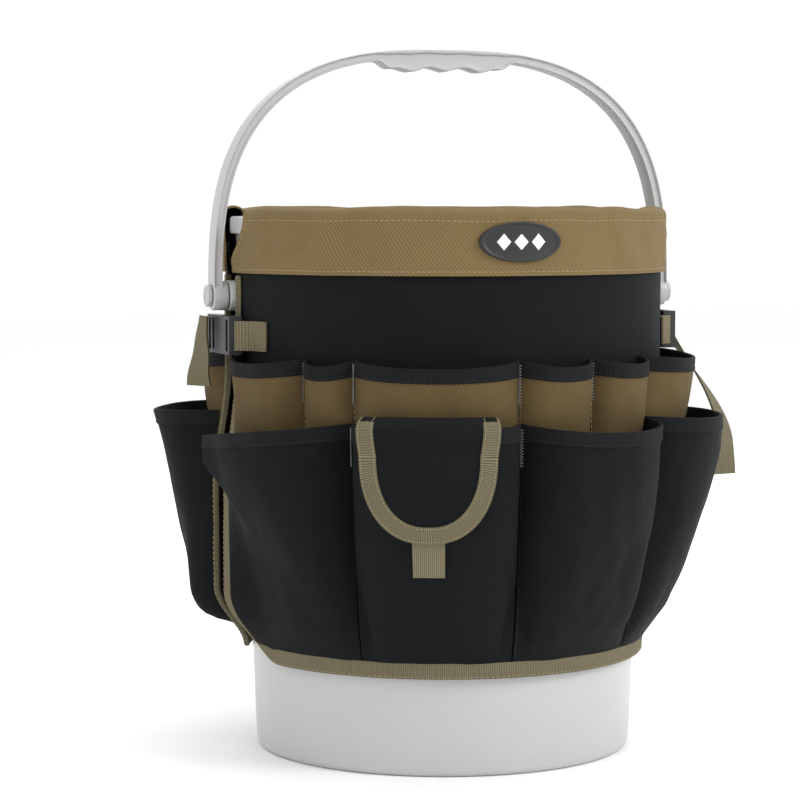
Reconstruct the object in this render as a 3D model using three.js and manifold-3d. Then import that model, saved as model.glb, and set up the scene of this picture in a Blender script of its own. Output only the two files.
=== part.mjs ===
// A fabric tool organizer of two halves, hung over the rim of a round pail with a bail handle.
// Millimetres and degrees, +Z up. The origin is the centre of the pail's underside, the middle of the
// organizer's front half faces -Y, and the pail's two ears are on the X axis.
// Angles around the pail are measured from -Y towards +X.
import * as THREE from "three";
import { mergeVertices } from "three/addons/utils/BufferGeometryUtils.js";
import Module from "manifold-3d";

const wasm = await Module();
wasm.setup();

// Driving dimensions.
const PAIL = {
  height: 370,
  baseRadius: 131,
  neckRadius: 144.5,
  neckHeight: 345,
  lipRadius: 149,
  lipBottom: 358,
  wall: 2.5,
  floor: 3,
  corner: 5,
  sides: 48,
};
const EAR = { z: 316, bossRadius: 11, bossInner: 142, bossOuter: 156.2, pinRadius: 4.2, pinEnd: 171 };
const CAP = { radius: 7.5, inner: 167.4, outer: 170.6, bore: 4.6 };
const BAIL = {
  halfWidth: 167,
  rise: 169,
  squareness: 2.8,
  thickness: 6.2,
  depth: 17,
  eyeRadius: 10,
  eyeBore: 4.8,
  eyeInner: 156.6,
  eyeOuter: 167,
  gripHalf: 50,
  gripExtra: 7,
  waveDepth: 1.8,
  waves: 4,
  steps: 44,
};
const HALF = {
  reach: 85.2,
  bottom: 71,
  apronTop: 352,
  cloth: 1.4,
  steps: 36,
  rows: 11,
  rowPower: 1.4,
  edgeFineness: 0.75,
};
const APRON = { bottomRadius: 137, topRadius: 150.7, flare: 190 };
const EDGE_CURL = { from: 72, radius: 160, top: 266, fade: 80, bottomFade: 44 };
const COLLAR = {
  bottom: 332,
  top: 375,
  outer: 153.3,
  inner: 139.6,
  tuck: 336,
  cloth: 1.6,
  bottomReach: 87,
  topReach: 80,
};
const LINER = { top: 366, bottom: 205, cloth: 1.2, clear: 1 };
const INNER_POCKET = { top: 305, bottom: 212, bulge: 12, reach: 52 };
const UPPER = { bottom: 186, mouth: 276, squareness: 3, fill: 1.8, lift: 1.3, cloth: 1.4 };
const LOWER = { bottom: 77, mouth: 235, fill: 1.8, lift: 3.7, cloth: 1.6 };
const HEM = { height: 10, cloth: 1.2, gap: 0.5, proud: 1 };
const BINDING = { sideWidth: 8.2, bottomWidth: 8.6, below: 3.4, cloth: 1.4, gap: 0.9, corner: 34, radius: 145 };
const FLAP = {
  pocket: 1,
  middle: -21.7,
  halfWidth: 45.5,
  drop: 87,
  hingeZ: 242,
  hingeRadius: 177.2,
  faceRadius: 186,
  shoulderDrop: 0.45,
  cloth: 1.4,
  trim: 11,
  trimCloth: 1.2,
  trimGap: 0.9,
  trimStart: 12,
  offFace: 5.2,
};
const TAB = { halfWidth: 11.5, bottom: 139, top: 172, off: 3.1, cloth: 1.5 };
const HOOK_PATCH = { halfWidth: 18, bottom: 178, top: 200, off: 3.1, cloth: 1.4 };
const LOOP_PATCH = { halfWidth: 20, bottom: 172, top: 206, off: 1.3, cloth: 1.2 };
const BADGE = { halfWidth: 28, halfHeight: 13, z: 354, thickness: 2.2, gap: 0.4 };
const STRAP = { halfWidth: 10, z: 290, cloth: 1.5, gap: 0.5 };
const BUCKLE = {
  angle: 88,
  radius: 159.4,
  length: 54,
  height: 26,
  thickness: 9,
  wall: 1.6,
  split: 5,
  gap: 0.4,
  throat: 26,
  slotLength: 5,
  slotHeight: 21.4,
  bar: 3.5,
  windowLength: 12,
  windowHeight: 6,
  windowSet: 13,
  armHeight: 3,
  armAt: 8.2,
  hookLength: 8,
  hookHeight: 3.2,
  hookAt: 9.5,
  guideHeight: 4,
};
const TAIL = { radius: 169.5, y: 11, rise: 12, settle: 1.25 };
const TAILS = {
  right: { drop: 121, swing: 52, turn: 80 },
  left: { drop: 48, swing: 3, turn: 40 },
};

// Each pocket lies between two seams. squareness shapes its plan: higher is more box-like. base is the share
// of its depth that it has right at the bottom, and rowPower draws its rows closer there. A creased pocket
// folds along a slanting line that starts at its outer seam at the mouth, and its mouth drops to that seam.
const FRONT_UPPER = [
  { from: -82, to: -55, bulge: 18 },
  { from: -55, to: -41, bulge: 11 },
  { from: -41, to: 0, bulge: 21 },
  { from: 0, to: 20.5, bulge: 16 },
  { from: 20.5, to: 41, bulge: 16 },
  { from: 41, to: 82, bulge: 22 },
].map((p) => ({ ...UPPER, ...p }));
const FRONT_LOWER = [
  { from: -82, to: -41, bulge: 26, squareness: 4, fill: 1.4, creased: true, mouthDrop: 13 },
  { from: -41, to: 0, bulge: 30, squareness: 6, fill: 2.6 },
  { from: 0, to: 41, bulge: 36, squareness: 3.6 },
  { from: 41, to: 82, bulge: 39, squareness: 3.6 },
].map((p) => ({ ...LOWER, ...p }));
const CREASE = { atMouth: 0.05, start: 0.88, slope: 0.95, deepest: 0.5, round: 5.5, belly: 0.3 };
const BACK_UPPER = [98, 139, 180, 221].map((from) => ({ ...UPPER, from, to: from + 41, bulge: 15.5 }));
const BACK_LOWER = [
  { from: 98, to: 139, bulge: 32, squareness: 3.4 },
  { from: 139, to: 180, bulge: 26, squareness: 3.2 },
  { from: 180, to: 221, bulge: 26, squareness: 3.2 },
  { from: 221, to: 262, bulge: 50, squareness: 4, bottom: 86, fill: 40, base: 0.55, rowPower: 1.7 },
].map((p) => ({ ...LOWER, ...p }));
const SEAM_MARGIN = 0.5;
const POCKET_CELLS = 8;

// Colours and finishes.
const finish = (color, roughness) => new THREE.MeshStandardMaterial({ color, roughness, metalness: 0 });
const FINISH = {
  pail: finish(0xdedddb, 0.35),
  bail: finish(0xd2d2d0, 0.4),
  blackCloth: finish(0x202226, 0.9),
  tanCloth: finish(0x8f774f, 0.9),
  tanWebbing: finish(0x96845f, 0.85),
  blackWebbing: finish(0x18191b, 0.85),
  buckle: finish(0x15161a, 0.45),
  badge: finish(0x121214, 0.5),
};

const part = new THREE.Group();

function addMesh(name, geometry, material) {
  const mesh = new THREE.Mesh(geometry, material);
  mesh.name = name;
  part.add(mesh);
}

const radians = THREE.MathUtils.degToRad;
const lerp = THREE.MathUtils.lerp;
const clamp = THREE.MathUtils.clamp;
const degrees = THREE.MathUtils.radToDeg;
const ease = (t) => THREE.MathUtils.smoothstep(t, 0, 1);

// Moves evenly spaced shares closer together at both ends, where side walls are steep.
const spread = (u) => 0.5 - 0.5 * Math.cos(Math.PI * u);

function polar(angle, radius, z) {
  return new THREE.Vector3(radius * Math.sin(radians(angle)), -radius * Math.cos(radians(angle)), z);
}

// A geometry with only merged positions and fresh normals, which is what the booleans need.
function closed(geometry) {
  geometry.deleteAttribute("normal");
  geometry.deleteAttribute("uv");
  const merged = mergeVertices(geometry, 1e-4);
  merged.computeVertexNormals();
  return merged;
}

// A slab of nu by nv cells whose corners lie at place(u, v, w), each from 0 to 1; w = 1 is the outside.
function slab(nu, nv, place) {
  const geometry = new THREE.BoxGeometry(1, 1, 1, nu, nv, 1);
  const position = geometry.attributes.position;
  for (let i = 0; i < position.count; i += 1) {
    const p = place(position.getX(i) + 0.5, position.getY(i) + 0.5, position.getZ(i) + 0.5);
    position.setXYZ(i, p.x, p.y, p.z);
  }
  return closed(geometry);
}

// A slab of the given thickness around a surface point(u, v), standing lift off it along its normal.
function sheetOn(nu, nv, point, lift, thickness) {
  const step = 1e-3;
  return slab(nu, nv, (u, v, w) => {
    const low = Math.max(u - step, 0);
    const high = Math.min(u + step, 1);
    const under = Math.max(v - step, 0);
    const over = Math.min(v + step, 1);
    const across = point(high, v).sub(point(low, v));
    const up = point(u, over).sub(point(u, under));
    const normal = across.cross(up).normalize();
    return point(u, v).addScaledVector(normal, lift + (w - 0.5) * thickness);
  });
}

function toSolid(geometry) {
  return new wasm.Manifold(
    new wasm.Mesh({
      numProp: 3,
      vertProperties: new Float32Array(geometry.attributes.position.array),
      triVerts: new Uint32Array(geometry.index.array),
    }),
  );
}

function toGeometry(solid) {
  const mesh = solid.getMesh();
  const geometry = new THREE.BufferGeometry();
  geometry.setAttribute("position", new THREE.BufferAttribute(mesh.vertProperties, 3));
  geometry.setIndex(new THREE.BufferAttribute(mesh.triVerts, 1));
  geometry.computeVertexNormals();
  return geometry;
}

function boxSolid(sizeX, sizeY, sizeZ, x, y, z) {
  return toSolid(closed(new THREE.BoxGeometry(sizeX, sizeY, sizeZ).translate(x, y, z)));
}

// A cylinder along X from one x to another, at height z.
function crossPin(radius, from, to, z, sides = 24) {
  const low = Math.min(from, to);
  const length = Math.abs(to - from);
  const geometry = new THREE.CylinderGeometry(radius, radius, length, sides);
  geometry.rotateZ(Math.PI / 2).translate(low + length / 2, 0, z);
  return toSolid(closed(geometry));
}

// ---- Pail ------------------------------------------------------------------------------------------

function pailWallRadius(z) {
  return lerp(PAIL.baseRadius, PAIL.neckRadius, clamp(z / PAIL.neckHeight, 0, 1));
}

function pailShell() {
  const { height, wall, floor, corner, lipRadius, lipBottom, neckRadius, neckHeight, baseRadius } = PAIL;
  const profile = [
    [0, 0],
    [baseRadius - corner, 0],
    [baseRadius - 1, 1.5],
    [pailWallRadius(corner), corner],
    [pailWallRadius(neckHeight / 2), neckHeight / 2],
    [neckRadius, neckHeight],
    [neckRadius + 0.5, lipBottom - 2],
    [lipRadius, lipBottom],
    [lipRadius, height - 2],
    [lipRadius - 1.5, height],
    [neckRadius - wall + 2, height],
    [neckRadius - wall, height - 2],
    [neckRadius - wall, neckHeight],
    [pailWallRadius(corner) - wall, floor + corner],
    [baseRadius - wall - corner, floor],
    [0, floor],
  ].map(([r, z]) => new THREE.Vector2(r, z));
  const geometry = new THREE.LatheGeometry(profile, PAIL.sides);
  geometry.rotateX(Math.PI / 2);
  let solid = toSolid(closed(geometry));
  for (const side of [-1, 1]) {
    solid = solid.add(crossPin(EAR.bossRadius, side * EAR.bossInner, side * EAR.bossOuter, EAR.z));
    solid = solid.add(crossPin(EAR.pinRadius, side * (EAR.bossOuter - 1), side * EAR.pinEnd, EAR.z, 16));
  }
  return toGeometry(solid);
}

function pinCap(side) {
  const cup = crossPin(CAP.radius, side * CAP.inner, side * CAP.outer, EAR.z);
  const bore = crossPin(CAP.bore, side * (CAP.inner - 1), side * (CAP.outer + 1), EAR.z, 16);
  return toGeometry(cup.subtract(bore));
}

// The bail's outer edge is a squared-off half ellipse. t runs from 0 at the +X ear to 1 at the -X ear.
function bailEdge(t, inset) {
  const turn = Math.PI * t;
  const power = 2 / BAIL.squareness;
  const c = Math.cos(turn);
  const x = Math.sign(c) * Math.abs(c) ** power * (BAIL.halfWidth - inset);
  const z = EAR.z + Math.abs(Math.sin(turn)) ** power * (BAIL.rise - inset);
  return new THREE.Vector2(x, z);
}

function gripDrop(x) {
  const along = Math.abs(x) / BAIL.gripHalf;
  if (along >= 1) return 0;
  const ramp = clamp((1 - along) * 5, 0, 1);
  const wave = Math.cos((x / BAIL.gripHalf) * Math.PI * BAIL.waves) * BAIL.waveDepth;
  return ramp * (BAIL.gripExtra + wave);
}

function bailBand() {
  const outline = [];
  for (let i = 0; i <= BAIL.steps; i += 1) outline.push(bailEdge(i / BAIL.steps, 0));
  for (let i = BAIL.steps; i >= 0; i -= 1) {
    const p = bailEdge(i / BAIL.steps, BAIL.thickness);
    outline.push(new THREE.Vector2(p.x, p.y - gripDrop(p.x)));
  }
  const geometry = new THREE.ExtrudeGeometry(new THREE.Shape(outline), {
    depth: BAIL.depth,
    bevelEnabled: false,
  });
  geometry.translate(0, 0, -BAIL.depth / 2).rotateX(Math.PI / 2);
  let solid = toSolid(closed(geometry));
  for (const side of [-1, 1]) {
    solid = solid.add(crossPin(BAIL.eyeRadius, side * BAIL.eyeInner, side * BAIL.eyeOuter, EAR.z));
    const bore = crossPin(BAIL.eyeBore, side * (BAIL.eyeInner - 1), side * (BAIL.eyeOuter + 1), EAR.z, 16);
    solid = solid.subtract(bore);
  }
  return toGeometry(solid);
}

addMesh("bucket_shell", pailShell(), FINISH.pail);
addMesh("bail_handle", bailBand(), FINISH.bail);
addMesh("bail_pin_cap_left", pinCap(-1), FINISH.bail);
addMesh("bail_pin_cap_right", pinCap(1), FINISH.bail);

// ---- Cloth panels ----------------------------------------------------------------------------------

// The inner face of the hanging apron: close to the wall at the bottom hem, clear of the lip above.
function apronRadius(z) {
  const t = clamp((z - HALF.bottom) / APRON.flare, 0, 1);
  return lerp(APRON.bottomRadius, APRON.topRadius, 1 - (1 - t) ** 2);
}

function apronOuter(z) {
  return apronRadius(z) + HALF.cloth;
}

// The apron's free side edges are stiff and hang straight down, so they stand off the tapering pail. This is
// how far, at an angle from -Y and a height.
function edgeCurl(angle, z) {
  const middle = angle > 90 ? 180 : 0;
  const near = ease((Math.abs(angle - middle) - EDGE_CURL.from) / (HALF.reach - EDGE_CURL.from));
  const between = ease((EDGE_CURL.top - z) / EDGE_CURL.fade) * ease((z - HALF.bottom) / EDGE_CURL.bottomFade);
  return (EDGE_CURL.radius - apronRadius(z)) * near * between;
}

// How far in from a side edge the apron's lower corners are rounded at a height z.
function cornerInset(z) {
  const below = clamp((HALF.bottom + BINDING.corner - z) / BINDING.corner, 0, 1);
  return BINDING.corner * (1 - Math.sqrt(1 - below * below));
}

function halfReach(z) {
  return HALF.reach - degrees(cornerInset(z) / apronRadius(z));
}

function apron(middle) {
  return slab(HALF.steps, HALF.rows, (u, v, w) => {
    const z = lerp(HALF.bottom, HALF.apronTop, v ** HALF.rowPower);
    const across = 2 * lerp(u, spread(u), HALF.edgeFineness) - 1;
    const angle = middle + across * halfReach(z);
    return polar(angle, apronRadius(z) + edgeCurl(angle, z) + w * HALF.cloth, z);
  });
}

// The collar's path over the pail's rim, from its outer hem up, across and down inside.
function collarPath(v) {
  const bend = (COLLAR.outer - COLLAR.inner) / 2;
  const middle = COLLAR.inner + bend;
  const rise = COLLAR.top - 3;
  if (v < 0.35) return new THREE.Vector2(COLLAR.outer, lerp(COLLAR.bottom, rise, v / 0.35));
  if (v > 0.65) return new THREE.Vector2(COLLAR.inner, lerp(rise, COLLAR.tuck, (v - 0.65) / 0.35));
  const turn = Math.PI * ((v - 0.35) / 0.3);
  return new THREE.Vector2(middle + bend * Math.cos(turn), rise + 3 * Math.sin(turn));
}

function collar(middle) {
  const point = (u, v) => {
    const p = collarPath(v);
    const reach = lerp(COLLAR.bottomReach, COLLAR.topReach, ease(v / 0.35));
    return polar(middle + (2 * u - 1) * reach, p.x, p.y);
  };
  return sheetOn(HALF.steps / 2, 14, point, 0.8, COLLAR.cloth);
}

function linerRadius(z) {
  return Math.min(pailWallRadius(z) - PAIL.wall - 2.2, COLLAR.inner - 2.3);
}

function liner(middle) {
  return slab(HALF.steps / 2, 3, (u, v, w) => {
    const z = lerp(LINER.bottom, LINER.top, v);
    return polar(middle + (2 * u - 1) * HALF.reach, linerRadius(z) - LINER.cloth * (1 - w), z);
  });
}

// A slack pocket on the liner's inner face, opening upwards inside the pail.
function innerPocket(middle) {
  return slab(10, 4, (u, v, w) => {
    const z = lerp(INNER_POCKET.bottom, INNER_POCKET.top, v);
    const across = 1 - Math.abs(2 * u - 1) ** 3;
    const slack = INNER_POCKET.bulge * across * (1 - (1 - v) ** 2);
    const radius = linerRadius(z) - LINER.cloth - LINER.clear - slack;
    return polar(middle + (2 * u - 1) * INNER_POCKET.reach, radius - LINER.cloth * (1 - w), z);
  });
}

// ---- Pockets ---------------------------------------------------------------------------------------

// How deep a creased pocket is across its width: a straight side up to the crease, then a rounded face.
function creasedShare(s, v) {
  const crease = clamp(CREASE.atMouth + (CREASE.start - v) * CREASE.slope, CREASE.atMouth, CREASE.deepest);
  if (s < crease) return s / crease;
  const past = (s - crease) / (1 - crease);
  return 1 - past ** CREASE.round + CREASE.belly * Math.sin(Math.PI * past);
}

function pocketBulge(pocket, s, v) {
  const plain = 1 - Math.abs(2 * s - 1) ** pocket.squareness;
  const across = pocket.creased ? creasedShare(s, v) : plain;
  const taper = pocket.base ? lerp(pocket.base, 1, v ** 1.5) : 1;
  return pocket.bulge * across * taper * (1 - (1 - v) ** pocket.fill);
}

function pocketHeight(pocket, s, v) {
  const drop = pocket.mouthDrop ? pocket.mouthDrop * (1 - s) ** 2 : 0;
  return lerp(pocket.bottom, pocket.mouth - drop, v);
}

function pocketRadius(pocket, s, v) {
  const z = pocketHeight(pocket, s, v);
  const curl = edgeCurl(lerp(pocket.from, pocket.to, s), z);
  return apronOuter(z) + curl + pocket.lift + pocketBulge(pocket, s, v);
}

function pocketWall(pocket, rows) {
  const point = (u, v) => {
    const s = spread(u);
    const angle = lerp(pocket.from + SEAM_MARGIN, pocket.to - SEAM_MARGIN, s);
    const up = v ** (pocket.rowPower ?? 1);
    return polar(angle, pocketRadius(pocket, s, up), pocketHeight(pocket, s, up));
  };
  return sheetOn(POCKET_CELLS, rows, point, 0, pocket.cloth);
}

// The hem tape runs along the mouths of a whole row, dipping to the apron at each seam.
function hem(row) {
  const count = row.length;
  const cells = count * POCKET_CELLS;
  const slopeAt = (pocket, s, v) => {
    const step = 0.01;
    const lowS = clamp(s - step, 0, 1);
    const highS = clamp(s + step, 0, 1);
    const rise = pocketRadius(pocket, highS, v) - pocketRadius(pocket, lowS, v);
    const run = radians(pocket.to - pocket.from) * (highS - lowS) * pocketRadius(pocket, s, v);
    return rise / run;
  };
  return slab(cells, 1, (u, v, w) => {
    const at = u * count;
    const index = Math.min(Math.floor(at + 1e-9), count - 1);
    const neighbour = Math.max(Math.round(at) - 1, 0);
    const onSeam = Math.abs(at - Math.round(at)) < 1e-6 && at > 0.5 && at < count - 0.5;
    const pocket = row[index];
    const s = spread(clamp(at - index, 0, 1));
    const inset = at < 1e-6 ? SEAM_MARGIN : at > count - 1e-6 ? -SEAM_MARGIN : 0;
    const rise = pocket.mouth - pocket.bottom;
    const t = 1 - ((1 - v) * HEM.height) / rise;
    const slope = onSeam
      ? Math.max(Math.abs(slopeAt(pocket, 0, t)), Math.abs(slopeAt(row[neighbour], 1, t)))
      : Math.abs(slopeAt(pocket, s, t));
    const steep = Math.sqrt(1 + slope * slope);
    const offset = (pocket.cloth / 2 + HEM.gap + w * HEM.cloth) * steep;
    const z = pocketHeight(pocket, s, t) + v * HEM.proud;
    return polar(lerp(pocket.from, pocket.to, s) + inset, pocketRadius(pocket, s, t) + offset, z);
  });
}

// The edge tape runs down one side of a half, round its lower corner, along the bottom and up again.
function binding(middle) {
  const { corner, radius } = BINDING;
  const top = COLLAR.bottom - 2;
  const bottom = HALF.bottom - BINDING.below;
  const sideSteps = 15;
  const cornerSteps = 6;
  const bottomSteps = 22;
  const edge = radians(HALF.reach) * radius;
  const route = [];
  for (let i = 0; i <= sideSteps; i += 1) {
    const z = lerp(top, bottom + corner, i / sideSteps);
    route.push({ arc: -edge, z, inX: 1, inZ: 0 });
  }
  for (let i = 1; i <= cornerSteps; i += 1) {
    const turn = (Math.PI / 2) * (i / cornerSteps);
    const arc = -edge + corner * (1 - Math.cos(turn));
    const z = bottom + corner * (1 - Math.sin(turn));
    route.push({ arc, z, inX: Math.cos(turn), inZ: Math.sin(turn) });
  }
  const first = -edge + corner;
  for (let i = 1; i < bottomSteps; i += 1) {
    route.push({ arc: lerp(first, -first, i / bottomSteps), z: bottom, inX: 0, inZ: 1 });
  }
  const mirrored = route.slice(0, sideSteps + cornerSteps + 1).reverse();
  for (const p of mirrored) route.push({ arc: -p.arc, z: p.z, inX: -p.inX, inZ: p.inZ });
  return slab(route.length - 1, 1, (u, v, w) => {
    const p = route[Math.round(u * (route.length - 1))];
    const reach = (p.z > bottom + corner / 2 ? BINDING.sideWidth : BINDING.bottomWidth) * v;
    const z = p.z + p.inZ * reach;
    const angle = middle + degrees((p.arc + p.inX * reach) / radius);
    return polar(angle, apronOuter(z) + edgeCurl(angle, z) + BINDING.gap + w * BINDING.cloth, z);
  });
}

function addHalf(name, middle, upper, lower) {
  addMesh(`${name}_apron`, apron(middle), FINISH.blackCloth);
  addMesh(`${name}_collar`, collar(middle), FINISH.tanCloth);
  addMesh(`${name}_liner`, liner(middle), FINISH.blackCloth);
  addMesh(`${name}_inner_pocket`, innerPocket(middle), FINISH.blackCloth);
  addMesh(`${name}_binding`, binding(middle), FINISH.tanWebbing);
  upper.forEach((pocket, i) => {
    addMesh(`${name}_upper_pocket_${i + 1}`, pocketWall(pocket, 4), FINISH.tanCloth);
  });
  lower.forEach((pocket, i) => {
    addMesh(`${name}_lower_pocket_${i + 1}`, pocketWall(pocket, 6), FINISH.blackCloth);
  });
  addMesh(`${name}_upper_hem`, hem(upper), FINISH.blackWebbing);
  addMesh(`${name}_lower_hem`, hem(lower), FINISH.blackWebbing);
}

addHalf("front", 0, FRONT_UPPER, FRONT_LOWER);
addHalf("back", 180, BACK_UPPER, BACK_LOWER);

// ---- Badge -----------------------------------------------------------------------------------------

// A square of side 2 mapped smoothly onto a disc of radius 1.
function ontoDisc(x, y) {
  return new THREE.Vector2(x * Math.sqrt(1 - (y * y) / 2), y * Math.sqrt(1 - (x * x) / 2));
}

function badge() {
  return slab(8, 5, (u, v, w) => {
    const p = ontoDisc(2 * u - 1, 2 * v - 1);
    const radius = COLLAR.outer + COLLAR.cloth + BADGE.gap + w * BADGE.thickness;
    const angle = degrees((p.x * BADGE.halfWidth) / radius);
    return polar(angle, radius, BADGE.z + p.y * BADGE.halfHeight);
  });
}

addMesh("badge", badge(), FINISH.badge);

// ---- Flap over the middle pocket -------------------------------------------------------------------

const FLAP_POCKET = FRONT_LOWER[FLAP.pocket];

// The radius of the pocket's face behind the flap's middle.
function faceRadius(z) {
  const v = clamp((z - FLAP_POCKET.bottom) / (FLAP_POCKET.mouth - FLAP_POCKET.bottom), 0, 1);
  return pocketRadius(FLAP_POCKET, 0.5, v);
}

// A point on the closed flap: arc is the distance from its middle, down the distance from its top seam.
function flapPoint(arc, down, off) {
  const front = faceRadius(FLAP.hingeZ - 20) + off;
  const shoulder = front - FLAP.hingeRadius + 2;
  const reach = clamp(down / shoulder, 0, 1);
  const over = lerp(FLAP.hingeRadius, front, Math.sin((reach * Math.PI) / 2));
  const z = FLAP.hingeZ - Math.max(down - shoulder * FLAP.shoulderDrop * (1 - (1 - reach) ** 2), 0);
  const radius = reach < 1 ? over : faceRadius(z) + off;
  return polar(FLAP.middle + degrees(arc / FLAP.faceRadius), radius, z);
}

// The flap's half width at a distance down from its seam: straight sides that run into a round end.
function flapHalfWidth(down) {
  const round = FLAP.drop - FLAP.halfWidth;
  if (down <= round) return FLAP.halfWidth;
  const t = clamp((down - round) / FLAP.halfWidth, 0, 1);
  return FLAP.halfWidth * Math.sqrt(Math.max(1 - t * t, 0.012));
}

function flapPanel() {
  const point = (u, v) => {
    const down = FLAP.drop * (1 - v);
    return flapPoint((2 * u - 1) * flapHalfWidth(down), down, FLAP.offFace + FLAP.cloth / 2);
  };
  return sheetOn(8, 14, point, 0, FLAP.cloth);
}

// The webbing round the flap's sides and end, open at the top seam. Its outer edge is a round-ended U.
function flapTrim() {
  const straight = FLAP.drop - FLAP.halfWidth;
  const side = straight - FLAP.trimStart;
  const length = 2 * side + Math.PI * FLAP.halfWidth;
  const point = (u, v) => {
    const radius = FLAP.halfWidth + 0.5 - FLAP.trim * v;
    const along = u * length;
    const turn = clamp((along - side) / FLAP.halfWidth, 0, Math.PI);
    const down = straight - Math.max(side - along, along - (length - side), 0);
    const off = FLAP.offFace + FLAP.cloth / 2;
    return flapPoint(-Math.cos(turn) * radius, down + Math.sin(turn) * radius, off);
  };
  return sheetOn(24, 1, point, FLAP.cloth / 2 + FLAP.trimGap + FLAP.trimCloth / 2, FLAP.trimCloth);
}

function facePatch({ halfWidth, bottom, top, off, cloth }) {
  return slab(4, 3, (u, v, w) => {
    const z = lerp(bottom, top, v);
    const angle = FLAP.middle + degrees(((2 * u - 1) * halfWidth) / FLAP.faceRadius);
    return polar(angle, faceRadius(z) + off + w * cloth, z);
  });
}

addMesh("flap_panel", flapPanel(), FINISH.blackCloth);
addMesh("flap_trim", flapTrim(), FINISH.tanWebbing);
addMesh("flap_tab", facePatch(TAB), FINISH.tanWebbing);
addMesh("flap_hook_patch", facePatch(HOOK_PATCH), FINISH.blackWebbing);
addMesh("pocket_loop_patch", facePatch(LOOP_PATCH), FINISH.blackWebbing);

// ---- Side straps and buckles -----------------------------------------------------------------------

// Shapes in a buckle's own frame: +X along the pull of the prong, +Y up, +Z away from the pail.
function buckleSocket() {
  const { length, height, thickness, wall, split, throat, slotLength, bar, gap } = BUCKLE;
  const left = -length / 2;
  const right = split - gap / 2;
  let solid = boxSolid(right - left, height, thickness, (left + right) / 2, 0, 0);
  const cavity = boxSolid(throat, height - 2 * wall, thickness - 2 * wall, right - throat / 2 + 1, 0, 0);
  solid = solid.subtract(cavity);
  const { windowLength, windowHeight, windowSet } = BUCKLE;
  for (const side of [-1, 1]) {
    const y = (side * height) / 2;
    const cut = boxSolid(windowLength, windowHeight, thickness - 2 * wall, right - windowSet, y, 0);
    solid = solid.subtract(cut);
  }
  const slot = boxSolid(slotLength, BUCKLE.slotHeight, thickness * 2, left + bar + slotLength / 2, 0, 0);
  return toGeometry(solid.subtract(slot));
}

function bucklePronged() {
  const { length, height, thickness, wall, split, throat, slotLength, bar, gap } = BUCKLE;
  const left = split + gap / 2;
  const right = length / 2;
  const { armHeight, armAt, hookLength, hookHeight, hookAt, guideHeight, slotHeight } = BUCKLE;
  const deep = thickness - 2 * wall - 1;
  const reach = throat - 4;
  const guide = reach - 4;
  let solid = boxSolid(right - left, height, thickness - 1, (left + right) / 2, 0, 0);
  solid = solid.add(boxSolid(guide, guideHeight, deep, left - guide / 2 + 0.5, 0, 0));
  for (const side of [-1, 1]) {
    solid = solid.add(boxSolid(reach, armHeight, deep, left - reach / 2 + 0.5, side * armAt, 0));
    const tip = left - reach + hookLength / 2 + 0.5;
    solid = solid.add(boxSolid(hookLength, hookHeight, deep, tip, side * hookAt, 0));
  }
  for (const at of [right - bar - slotLength / 2, right - 2 * bar - 1.5 * slotLength]) {
    solid = solid.subtract(boxSolid(slotLength, slotHeight, thickness * 2, at, 0, 0));
  }
  return toGeometry(solid);
}

// Where a point of the buckle's frame lies around the pail, for the side at +X.
function onBuckle(along, outward) {
  const tangent = radians(BUCKLE.angle);
  const x = BUCKLE.radius * Math.sin(tangent) + along * Math.cos(tangent) + outward * Math.sin(tangent);
  const y = -BUCKLE.radius * Math.cos(tangent) + along * Math.sin(tangent) - outward * Math.cos(tangent);
  return new THREE.Vector2(x, y);
}

// A flat strap standing on edge along a plan route on the +X side.
function edgeStrap(route) {
  const curve = new THREE.SplineCurve(route);
  return slab(8, 1, (u, v, w) => {
    const at = curve.getPoint(u);
    const along = curve.getTangent(u);
    const off = (w - 0.5) * STRAP.cloth;
    const z = STRAP.z + (2 * v - 1) * STRAP.halfWidth;
    return new THREE.Vector3(at.x + along.y * off, at.y - along.x * off, z);
  });
}

function onApron(angle, lift = 0) {
  const radius = apronOuter(STRAP.z) + STRAP.gap + STRAP.cloth / 2 + lift;
  const p = polar(angle, radius, 0);
  return new THREE.Vector2(p.x, p.y);
}

// A loose strap end that hangs from the buckle, turning edge-on to the pail as it falls.
function hangingTail({ drop, swing, turn }) {
  return slab(2, 10, (u, v, w) => {
    const fall = 1 - v;
    const settled = Math.min(fall * TAIL.settle, 1);
    const radius = TAIL.radius + swing * Math.sin((settled * Math.PI) / 2) ** 1.5;
    const z = STRAP.z + TAIL.rise - drop * fall;
    const spin = radians(turn * fall ** 1.3);
    const across = (2 * u - 1) * STRAP.halfWidth;
    const off = (w - 0.5) * STRAP.cloth;
    const outward = across * Math.sin(spin) + off * Math.cos(spin);
    const along = across * Math.cos(spin) - off * Math.sin(spin);
    return new THREE.Vector3(radius + outward, TAIL.y + along, z);
  });
}

function mirrorX(geometry) {
  const position = geometry.attributes.position;
  for (let i = 0; i < position.count; i += 1) position.setX(i, -position.getX(i));
  const index = geometry.index.array;
  for (let i = 0; i < index.length; i += 3) [index[i], index[i + 1]] = [index[i + 1], index[i]];
  geometry.computeVertexNormals();
  return geometry;
}

// Turns a buckle piece from its own frame into the pail's, on the +X side.
function placeBuckle(geometry) {
  const tangent = radians(BUCKLE.angle);
  const along = new THREE.Vector3(Math.cos(tangent), Math.sin(tangent), 0);
  const up = new THREE.Vector3(0, 0, 1);
  const outward = new THREE.Vector3(Math.sin(tangent), -Math.cos(tangent), 0);
  const matrix = new THREE.Matrix4().makeBasis(along, up, outward);
  matrix.setPosition(polar(BUCKLE.angle, BUCKLE.radius, STRAP.z));
  return geometry.applyMatrix4(matrix);
}

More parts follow.
